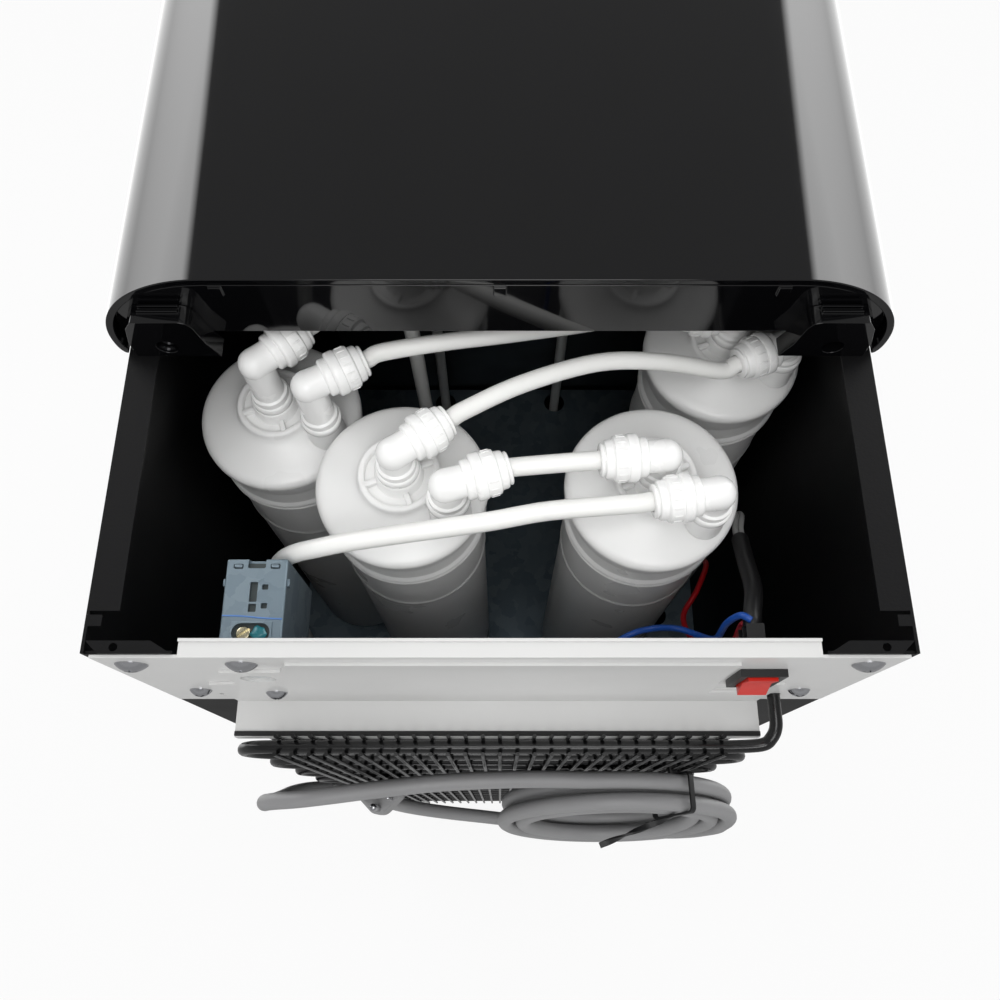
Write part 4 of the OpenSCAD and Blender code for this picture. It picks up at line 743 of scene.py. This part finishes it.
class COOLER_OT_lid(bpy.types.Operator):
    """Makes the smooth top lid"""

    bl_idname = "cooler.lid"
    bl_label = "Top lid"

    def execute(self, context):
        # How far the sides stand over the body, the edges' and the nose's roundings, and the front's depth
        over, round_w, round_h, height = 3.5, 36.5, 25, 34
        widest, low, nose, front = height - round_h, 0.3, 12, 453
        side = [(HALF + over * sin(a), low + (widest - low) * (1 - cos(a))) for a in quarter(8)]
        side += [
            (HALF + over - round_w + round_w * cos(a), widest + round_h * sin(a)) for a in quarter(32)[1:]
        ]
        outline = side + [(-x, z) for x, z in reversed(side)]
        # Depth and height limit of each ring, from behind the slanted rear edge over the rounded nose
        rings = [(109, height), (130, height), (280, height), (front - nose, height)]
        rings += [(front - nose + nose * sin(a), height - nose + nose * cos(a)) for a in quarter(10)[1:]]
        shape = bmesh.new()
        rear, slant = 101.5, 6
        first = [shape.verts.new(at(x, rear + slant * z / height, z)) for x, z in outline]
        edges = [shape.edges.new(pair) for pair in zip(first, first[1:])]
        for depth, limit in rings:
            made = bmesh.ops.extrude_edge_only(shape, edges=edges)["geom"]
            edges = [e for e in made if isinstance(e, bmesh.types.BMEdge)]
            for vert in {v for e in edges for v in e.verts}:
                vert.co.y = REAR - depth
                vert.co.z = min(vert.co.z, RIM + limit)
        bmesh.ops.remove_doubles(shape, verts=shape.verts, dist=1e-4)
        last = [e for e in shape.edges if e.is_boundary and all(abs(v.co.y - REAR + front) < 1e-3 for v in e.verts)]
        bmesh.ops.contextual_create(shape, geom=last)
        bmesh.ops.recalc_face_normals(shape, faces=shape.faces)
        top = max(shape.faces, key=lambda f: f.calc_center_median().z)
        if top.normal.z < 0:
            bmesh.ops.reverse_faces(shape, faces=shape.faces)
        bmesh.ops.solidify(shape, geom=shape.faces[:], thickness=context.scene.cooler_sizes.lid_wall / MM)
        piece("lid_shell", eased(shape, 0.35, 3, 60), "lid", "polished black ABS", ("top_lid",), 50, True)
        return {"FINISHED"}


# Filters: place across and in depth, cap under the rim, side port's angle, elbow axis under the rim, elbows' headings
Filter = namedtuple("Filter", "x depth drop port_angle elbow_drop headings")
FILTERS = (
    Filter(85, 102.98, 50, 155, 9, (219.5, 208)),
    Filter(35, 67, 33, 147, 4.5, (214, 197)),
    Filter(-54, 66, 33, 141, 4.5, (4, 7.5)),
    Filter(-88.5, 131.01, 50, 150, 25, (-6, 24)),
)
PORT_OFFSET, PORT_HEIGHT, ELBOW = 21, 15, 21.5

# Housing: a bead low down and two under the collar, with rings beside them that keep the light even
HOUSING_HEIGHT = 250
HOUSING = (
    (0, 0), (18, 0), (22, 1), (26.2, 3.2), (28, 7), (28.5, 12), (28.5, 90), (28.5, 170), (28.5, 189.4), (28.5, 190),
    (28.9, 190.8), (28.9, 192.6), (28.5, 193.4), (28.5, 194), (28.5, 208), (28.5, 221.4), (28.5, 222), (28.6, 222.4),
    (29.5, 223.4), (29.7, 224.2), (29.5, 225), (28.9, 225.5), (28.9, 225.9), (29.5, 226.4), (29.7, 227.2),
    (29.5, 228), (28.6, 229), (28.5, 229.4), (28.5, 230), (28.5, 237.4), (28.5, 238), (28.9, 239), (28.9, 247),
    (0, 247),
)
CAP = (
    (0, -3), (29.6, -3), (30.6, -2.7), (31, -1.9), (31, 0), (30.8, 0.8), (30.2, 1.8), (29.4, 2.4), (28.4, 2.9),
    (26.6, 3.5), (24, 4.3), (20, 5.9), (17.4, 7.3), (15.9, 8.3), (15, 9.2), (14.6, 10.2), (14.4, 11.3), (14, 11.8),
    (13.4, 11.9), (12.6, 11.8), (12.1, 11.4), (11.9, 9.8), (8.7, 9.8), (8.4, 10.2), (8.1, 14.7), (7.7, 15), (0, 15),
)
BOSS = ((0, 0), (7.6, 0), (7.4, 7), (6.9, 9), (6.6, 14.6), (6.2, 15), (0, 15))
# An elbow's arm from its round heel over the locking collar into its mouth
ARM = (
    (0, -6), (1.9, -5.7), (3.6, -4.8), (4.9, -3.4), (5.6, -1.8), (5.8, 0), (5.6, 2.6), (5.5, 5.7), (6.3, 5.9),
    (6.7, 6.3), (6.8, 6.9), (6.8, 8.3), (6.6, 8.7), (7.5, 8.9), (8, 9.4), (8.1, 10), (8.1, 11.9), (7.9, 12.4),
    (7.55, 12.55), (7.6, 12.8), (7.7, 13.2), (7.7, 16.2), (7.5, 16.9), (6.9, 17.2), (6.6, 17.5), (6.5, 19.2),
    (6.2, 19.8), (5.2, 20), (5.15, 20.2), (5.6, 20.4), (5.7, 20.7), (5.6, 21.2), (5.2, 21.5), (3.5, 21.5),
    (3.35, 20.8), (3.35, 15),
)


def port(i, side):
    """The foot of one elbow of a filter, the middle one or the side one."""
    one = FILTERS[i]
    a = radians(one.port_angle)
    out = Vector((side * PORT_OFFSET * cos(a), side * PORT_OFFSET * sin(a), PORT_HEIGHT))
    return at(one.x, one.depth, -one.drop) + out


def mouth(i, side, beyond=0):
    """A point on the axis of an elbow, so far beyond its mouth."""
    a, reach, foot = radians(FILTERS[i].headings[side]), ELBOW + beyond, port(i, side)
    return Vector((foot.x + reach * cos(a), foot.y + reach * sin(a), RIM - FILTERS[i].elbow_drop))


def leave(i, side):
    return [mouth(i, side, beyond) for beyond in (-5, 1, 7)]


class COOLER_OT_filters(bpy.types.Operator):
    """Makes the four filters and their caps"""

    bl_idname = "cooler.filters"
    bl_label = "Filters"

    def execute(self, context):
        steps = context.scene.cooler_sizes.sides
        caps = []
        for i, (x, depth, drop, angle, _, _) in enumerate(FILTERS):
            housing = joined((turned(HOUSING, steps), shift(at(x, depth, -drop - HOUSING_HEIGHT))))
            piece(f"filter_housing_{i + 1}", housing, "case", "white polypropylene", (f"filter_{i + 1}",), 50)
            # A web ties the side port to the ring, and four short ribs bridge the slot round the middle one
            web = block((13, -4.2, 4), (19, 4.2, 11.6), 1.4, 3)
            place = shift(at(x, depth, -drop))
            side = place @ turn(angle, "Z")
            caps += [(turned(CAP, steps), place), (turned(BOSS, 48), side @ shift(Vector((PORT_OFFSET, 0, 0))))]
            caps.append((web, side))
            caps += [(block((7.8, -1, 9), (12.6, 1, 11.9), 0.3), place @ turn(a, "Z")) for a in (20, 110, 200, 290)]
        piece("filter_caps_moulded", joined(*caps), "case", "white polypropylene", ("filter_caps",), 50)
        return {"FINISHED"}


class COOLER_OT_elbows(bpy.types.Operator):
    """Makes the eight quick-connect elbows"""

    bl_idname = "cooler.elbows"
    bl_label = "Elbows"

    def execute(self, context):
        parts = []
        for i, one in enumerate(FILTERS):
            rise = one.drop - PORT_HEIGHT - one.elbow_drop
            step = min(3.2, rise - 8)
            foot = [
                (0, 0), (7.3, 0), (7.5, 0.3), (7.55, 2.6), (7.2, 3.2), (6.7, 3.4), (6.75, 3.6 + step * 0.5),
                (6.7, 3.1 + step), (6.3, 3.4 + step), (5.8, 3.6 + step), (5.7, 4 + step), (5.7, rise),
                (5.5, rise + 1.6), (4.6, rise + 3.4), (3, rise + 4.8), (0, rise + 5.6),
            ]
            for side in (0, 1):
                place = port(i, side)
                along = shift(place + Vector((0, 0, rise))) @ turn(one.headings[side], "Z") @ turn(90, "Y")
                parts += [(turned(foot, 48), shift(place)), (turned(ARM, 48), along)]
                # Fine grip ribs on the locking collar
                for k in range(16):
                    grip = block((7.55, -0.3, 13.3), (7.95, 0.3, 16.1), 0.12, 1)
                    parts.append((grip, along @ turn(22.5 * k, "Z")))
        piece("quick_connect_elbows", joined(*parts), "case", "white acetal", ("elbow_fittings",), 40)
        return {"FINISHED"}


# Routes of the tubes past the elbows and of the wires: places across, in depth and over the rim

SUPPLY = (
    (-16, 47, -5), (2, 44, -6), (17, 42, -7), (34, 40, -8.5), (49, 38.5, -11), (60, 37.6, -15), (68, 37.9, -21),
    (74, 38.8, -30), (79, 40, -42), (83, 41.3, -58), (87, 43, -80), (91, 44, -110), (95, 43, -160), (98, 40, -220),
    (99, 33, -290), (99, 26, -340), (98, 20, -390), (98, 18, -450), (98, 18, -570), (98, 17, -630), (90, 17, -655),
    (80, 17, -672), (80, 17, -686),
)
TANK_FEED = (
    (48, 138, -13), (40, 144, -27), (37, 146, -50), (36, 146, -120), (35, 146, -200), (33, 145, -270),
    (26, 141, -310), (14, 134, -345), (10, 132, -367), (10, 132, -393),
)
# Both hoses run alike from the deck to their taps, one on each side
TAP_HOSES = (
    (1, ((38, 100, -393), (38, 100, -377), (43, 112, -359), (47, 150, -347), (41, 205, -339), (38, 231, -322))),
    (-1, ((-24, 246, -472), (-24, 246, -460), (-32, 238, -454), (-38, 237, -420), (-38, 236, -320))),
)
TAP_RISE = (
    (236, -280), (236, -200), (238, -172), (254, -158), (282, -154), (296, -160), (300, -172), (300, -181),
)
RED_WIRE = (
    (-84, 15.9, -35.5), (-83.5, 17.6, -39.5), (-84, 14, -60), (-82, 16, -90), (-78, 36, -110), (-85, 49, -112),
    (-91.6, 62.6, -118), (-95.5, 74, -150), (-96, 79, -200), (-96, 81, -260), (-96, 81.5, -298), (-96, 82, -330),
)
BLUE_WIRE = (
    (-83, 16, -25.5), (-80, 18, -26.9), (-77.5, 17.5, -36), (-77, 15.5, -52), (-74.5, 20, -67), (-68, 23.8, -72.5),
    (-58, 23.4, -70.5), (-48, 20.4, -70), (-36, 14, -80), (-28, 10, -95), (-24, 9, -120), (-24, 10, -200),
    (-24, 10, -290), (-24, 10, -318),
)
GREY_WIRES = (
    (-91, 55, -58), (-92, 61, -63), (-97, 72, -78), (-101, 80, -105), (-103, 83, -160), (-103, 85, -230),
    (-103, 86, -290), (-103, 86, -330),
)
WIRE_SLEEVE = ((-84.5, 15, -30.5), (-85, 19, -30.8), (-88, 30, -37), (-89.5, 43, -48), (-91, 55, -58))


class COOLER_OT_tubes(bpy.types.Operator):
    """Makes the water tubes and the hoses to the taps"""

    bl_idname = "cooler.tubes"
    bl_label = "Water tubes"

    def execute(self, context):
        width = context.scene.cooler_sizes.tube / MM
        across = places((-8, 93, -5), (-34, 103, -8.5), (-58, 107.5, -16))
        back = places((-26, 123, -17), (0, 116, -12), (20, 112, -10))
        tubes = {
            "supply_tube": leave(2, 1) + places(*SUPPLY),
            "filter_tube_1": [mouth(2, 0, -5), mouth(2, 0), mouth(1, 1), mouth(1, 1, -5)],
            "filter_tube_2": leave(1, 0) + across + leave(3, 1)[::-1],
            "filter_tube_3": leave(3, 0) + back + leave(0, 1)[::-1],
            "tank_feed_tube": leave(0, 0) + places(*TANK_FEED),
        }
        for name, route in tubes.items():
            run(name + "_smooth", [flowing(route, 6)], width, "milky polyethylene", (name,), 7)
        hoses = [flowing(places(*low, *((s * 38, *point) for point in TAP_RISE)), 4) for s, low in TAP_HOSES]
        run("tap_hoses_smooth", hoses, width, "milky polyethylene", ("tap_hoses",))
        return {"FINISHED"}


class COOLER_OT_wiring(bpy.types.Operator):
    """Makes the coloured wires and their sleeve"""

    bl_idname = "cooler.wiring"
    bl_label = "Wiring"

    def execute(self, context):
        red, blue, grey, sleeve = (places(*way) for way in (RED_WIRE, BLUE_WIRE, GREY_WIRES, WIRE_SLEEVE))
        run("wire_red", [flowing(red, 6)], 2.4, "red PVC wire", ("wiring",))
        run("wire_blue", [flowing(blue, 6)], 2.4, "blue PVC wire", ("wiring",))
        pair = [flowing([p + Vector((s, 0, 0)) for p in grey], 6) for s in (-1.1, 1.1)]
        run("wire_grey", pair, 2.2, "grey PVC wire", ("wiring",))
        run("wire_sleeve_smooth", [flowing(sleeve, 6)], 6.4, "grained black plastic", ("wire_sleeve",))
        return {"FINISHED"}


class COOLER_OT_condenser(bpy.types.Operator):
    """Makes the smooth condenser tube"""

    bl_idname = "cooler.condenser"
    bl_label = "Condenser tube"

    def execute(self, context):
        pitch, half, count, depth, top = 25.7, 84.75, 17, -19.5, -77
        low = top - (count - 1) * pitch
        feed = places(
            (-101.5, 6, -72), (-101.5, -6, -72), (-101.5, -12.5, -72.6), (-99.9, -16.5, -74), (-96.5, -18.9, -76),
            (-half, depth, top),
        )
        passes = []
        for i in range(count):
            side, z = (-1) ** i, top - i * pitch
            passes += [(-side * half, depth, z), (side * half, depth, z)][not i :]
            if i < count - 1:
                for a in (radians(11.25 * k) for k in range(1, 16)):
                    passes.append((side * (half + pitch / 2 * sin(a)), depth, z - pitch / 2 * (1 - cos(a))))
        outward = places(
            (half, depth, low), (half + 4, depth + 0.6, low - 0.6), (half + 8, depth + 3, low - 3),
            (half + 10, depth + 7, low - 5), (half + 10.5, depth + 12, low - 6), (half + 10.5, depth + 25.5, low - 6),
        )
        route = flowing(feed, 6) + places(*passes[:-1]) + flowing(outward, 6)
        # A thin black strip on the awning's lip is painted shade: it draws the shade under the awning as a dark line
        # along it
        shade_strip = block((-98, REAR + 13.3, RIM - 82), (100, REAR + 15.1, RIM - 81.1), 0.25)
        piece("awning_shade_strip", shade_strip, "case", "moulded rubber")
        run("condenser_tube_smooth", [route], 4.8, "black dip enamel", ("condenser_tube",), 5)
        return {"FINISHED"}


class COOLER_OT_screws(bpy.types.Operator):
    """Makes the truss head screws of the rear"""

    bl_idname = "cooler.screws"
    bl_label = "Screws"

    def execute(self, context):
        # Place across and over the rim, depth of the seat, and radius of the head
        seats = [(s * (HALF - 11), -12, -1, 5) for s in (-1, 1)]
        seats += [(s * (HALF - 17), -62, -1, 3.9) for s in (-1, 1)]
        seats += [(80, -12, -1, 5), (80.5, -62, -2, 3.9)]
        seats += [(s * (HALF - 15), z, 0, 3.9) for s in (-1, 1) for z in (-200, -640)]
        brim, bulge, recess = 0.3, 2.2, 1.7
        parts = []
        for x, rise, seat, radius in seats:
            head = [(0, -4), (1.6, -4), (1.6, 0), (radius, 0), (radius, brim)]
            bow = (radius * radius + bulge * bulge) / (2 * bulge)
            for r in (radius * (1 - k / 8) for k in range(1, 9)):
                head.append((r, brim + sqrt(bow * bow - r * r) - (bow - bulge)))
            shape = turned(head, 40)
            for wide, deep in ((1.9, 0.36), (0.36, 1.9)):
                shape = carved(shape, block((-wide, -deep, recess), (wide, deep, 4)))
            parts.append((shape, shift(at(x, seat, rise)) @ turn(-90, "X") @ turn(37 * x, "Z")))
        pan = eased(turned([(0, 0), (2.9, 0), (2.9, 1.9), (0, 1.9)], 40), 0.8, 4)
        piece("block_screw", joined((pan, shift(at(HALF - 15, 104.8, 6)) @ turn(-90, "X"))), "lid", "bright zinc")
        piece("truss_head_screws", joined(*parts), "case", "bright zinc", ("panel_screws",), 30)
        return {"FINISHED"}


class COOLER_OT_thermostat(bpy.types.Operator):
    """Makes the thermostat's box, its marks and its screw"""

    bl_idname = "cooler.thermostat"
    bl_label = "Thermostat"

    def execute(self, context):
        x, deep, top, tall, wide, wall = 79, 34, -15, 40, 10, 1

        def part(x1, x2, d1, d2, z1, z2, round_off=0, segments=2):
            """A block between places across and in depth, and heights over the box's top."""
            low, high = (x + x1, REAR - d2, RIM + top + z1), (x + x2, REAR - d1, RIM + top + z2)
            return block(low, high, round_off, segments)

        def opening(x1, x2, d1, d2, round_off):
            """A cutter through the top plate."""
            shape = part(x1, x2, d1, d2, -3, 3)
            return bevelled(shape, reaching(shape, 2), round_off, 4)

        box = part(-wide, wide, 0, deep, -tall, 0, 0.7, 3)
        box = carved(box, part(wall - wide, wide - wall, wall, deep - wall, -tall - 1, -wall))
        # A notch at the far edge, two tabs' slots, a long slot with a bridge, two square holes and the oval window
        for cut in (
            (-2.9, 2.9, deep - 3.2, deep + 2, 0.6), (-7.6, -4.4, deep - 3.4, deep - 1.7, 0.5),
            (4.4, 7.6, deep - 3.4, deep - 1.7, 0.5), (-0.9, 1.6, 19.6, 26.2, 0.3), (-0.9, 1.6, 16.3, 19, 0.3),
            (-4.3, -2.3, 23.6, 25.4, 0.4), (-4.4, -2.4, 17.4, 19.2, 0.4), (-6.2, 6.2, 6.3, 12.7, 3.1),
        ):
            box = carved(box, opening(*cut))
        # The window's lip, the tongues in the slots and the side clips
        parts = [box, carved(part(-6.7, 6.7, 5.8, 13.2, -1.2, 0.35, 0.3), opening(-6.1, 6.1, 6.4, 12.6, 3))]
        for s in (-1, 1):
            for aside, half, d1, d2, z1, z2 in (
                (6, 1.3, deep - 3, deep - 1.9, -1.4, 0.2),
                (10.3, 0.5, 25, 27.5, -3.4, -1),
                (10.3, 0.5, 2, 4.5, -3.4, -1),
            ):
                parts.append(part(s * aside - half, s * aside + half, d1, d2, z1, z2, 0.25))
        piece("thermostat_case", joined(*parts), "case", "galvanised sheet", ("thermostat_box",), 30, True)

        line = ((-9.6, 14, 0.05), (-3, 14.3, 0.06), (3, 14.9, 0.06), (9.6, 15.1, 0.05))
        line = places(*((x + aside, depth, top + over) for aside, depth, over in line))
        run("marker_line", [flowing(line, 4)], 0.5, "blue marker ink")
        paint = turned([(0, 0), (1.6, 0.1), (2.4, 0.5), (2.5, 1.1), (1.9, 1.6), (0.8, 1.8), (0, 1.8)], 24)
        for vert in paint.verts:
            vert.co.x *= 1 + 0.12 * sin(2.3 * vert.co.y + 1)
            vert.co.y *= 1 + 0.15 * sin(1.9 * vert.co.x)
        blob = joined((paint, shift(at(x - 2.4, 9.4, top - 1.6))))
        piece("sealing_paint", blob, "case", "green sealing paint")

        head = eased(turned([(0, -8.2), (2.35, -8.2), (2.4, -0.5), (2.1, 0), (0, 0)], 40), 0.12)
        slot = block((-3, -0.4, -1.2), (3, 0.4, 1))
        screw = joined((carved(head, joined((slot, turn(35, "Z")))), shift(at(x + 2.6, 9.5, top - 0.5))))
        piece(
            "thermostat_screw_turned", screw, "thermostat_knob", "nickel plated brass", ("thermostat_screw",), 30
        )
        return {"FINISHED"}


class COOLER_OT_rounded(bpy.types.Operator):
    """Makes copies of the sheets and mouldings with rounded edges"""

    bl_idname = "cooler.rounded"
    bl_label = "Rounded sheets and mouldings"

    def execute(self, context):
        made_of = {node: name for name, nodes in NODE_FINISHES.items() for node in nodes.split()}
        for body, width, nodes in ROUNDED:
            for node in nodes.split():
                shape = bmesh.new()
                shape.from_mesh(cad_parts[node].data)
                bmesh.ops.remove_doubles(shape, verts=shape.verts, dist=1e-6)
                bmesh.ops.scale(shape, vec=(1 / MM,) * 3, verts=shape.verts)
                bmesh.ops.dissolve_limit(
                    shape, angle_limit=radians(0.5), verts=shape.verts[:], edges=shape.edges[:]
                )
                piece(node + "_rounded", eased(shape, width, 2, 35, True), body, made_of[node], (node,), 50, True)
        return {"FINISHED"}


class COOLER_OT_finishes(bpy.types.Operator):
    """Gives every CAD node its finish"""

    bl_idname = "cooler.finishes"
    bl_label = "Finishes"

    def execute(self, context):
        for name, nodes in NODE_FINISHES.items():
            for node in nodes.split():
                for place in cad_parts[node].material_slots:
                    place.material = finish(name)
        return {"FINISHED"}


OPERATORS = (
    COOLER_OT_stage,
    COOLER_OT_lead,
    COOLER_OT_lid,
    COOLER_OT_filters,
    COOLER_OT_elbows,
    COOLER_OT_tubes,
    COOLER_OT_wiring,
    COOLER_OT_condenser,
    COOLER_OT_screws,
    COOLER_OT_thermostat,
    COOLER_OT_rounded,
    COOLER_OT_finishes,
)


class COOLER_PT_panel(bpy.types.Panel):
    """Lists the sizes, the lamps and the pieces"""

    bl_idname = "COOLER_PT_panel"
    bl_label = "Water cooler"
    bl_space_type = "VIEW_3D"
    bl_region_type = "UI"
    bl_category = "Cooler"

    def draw(self, context):
        for group in (context.scene.cooler_sizes, context.scene.cooler_light):
            for name in group.__annotations__:
                self.layout.prop(group, name)
        for operator in OPERATORS:
            self.layout.operator(operator.bl_idname)


CLASSES = (CoolerSizes, CoolerLight, *OPERATORS, COOLER_PT_panel)


def register():
    for kind in CLASSES:
        bpy.utils.register_class(kind)
    bpy.types.Scene.cooler_sizes = PointerProperty(type=CoolerSizes)
    bpy.types.Scene.cooler_light = PointerProperty(type=CoolerLight)


def unregister():
    del bpy.types.Scene.cooler_light
    del bpy.types.Scene.cooler_sizes
    for kind in reversed(CLASSES):
        bpy.utils.unregister_class(kind)


def main():
    register()
    for operator in OPERATORS:
        group, name = operator.bl_idname.split(".")
        getattr(getattr(bpy.ops, group), name)()


if __name__ == "__main__":
    main()
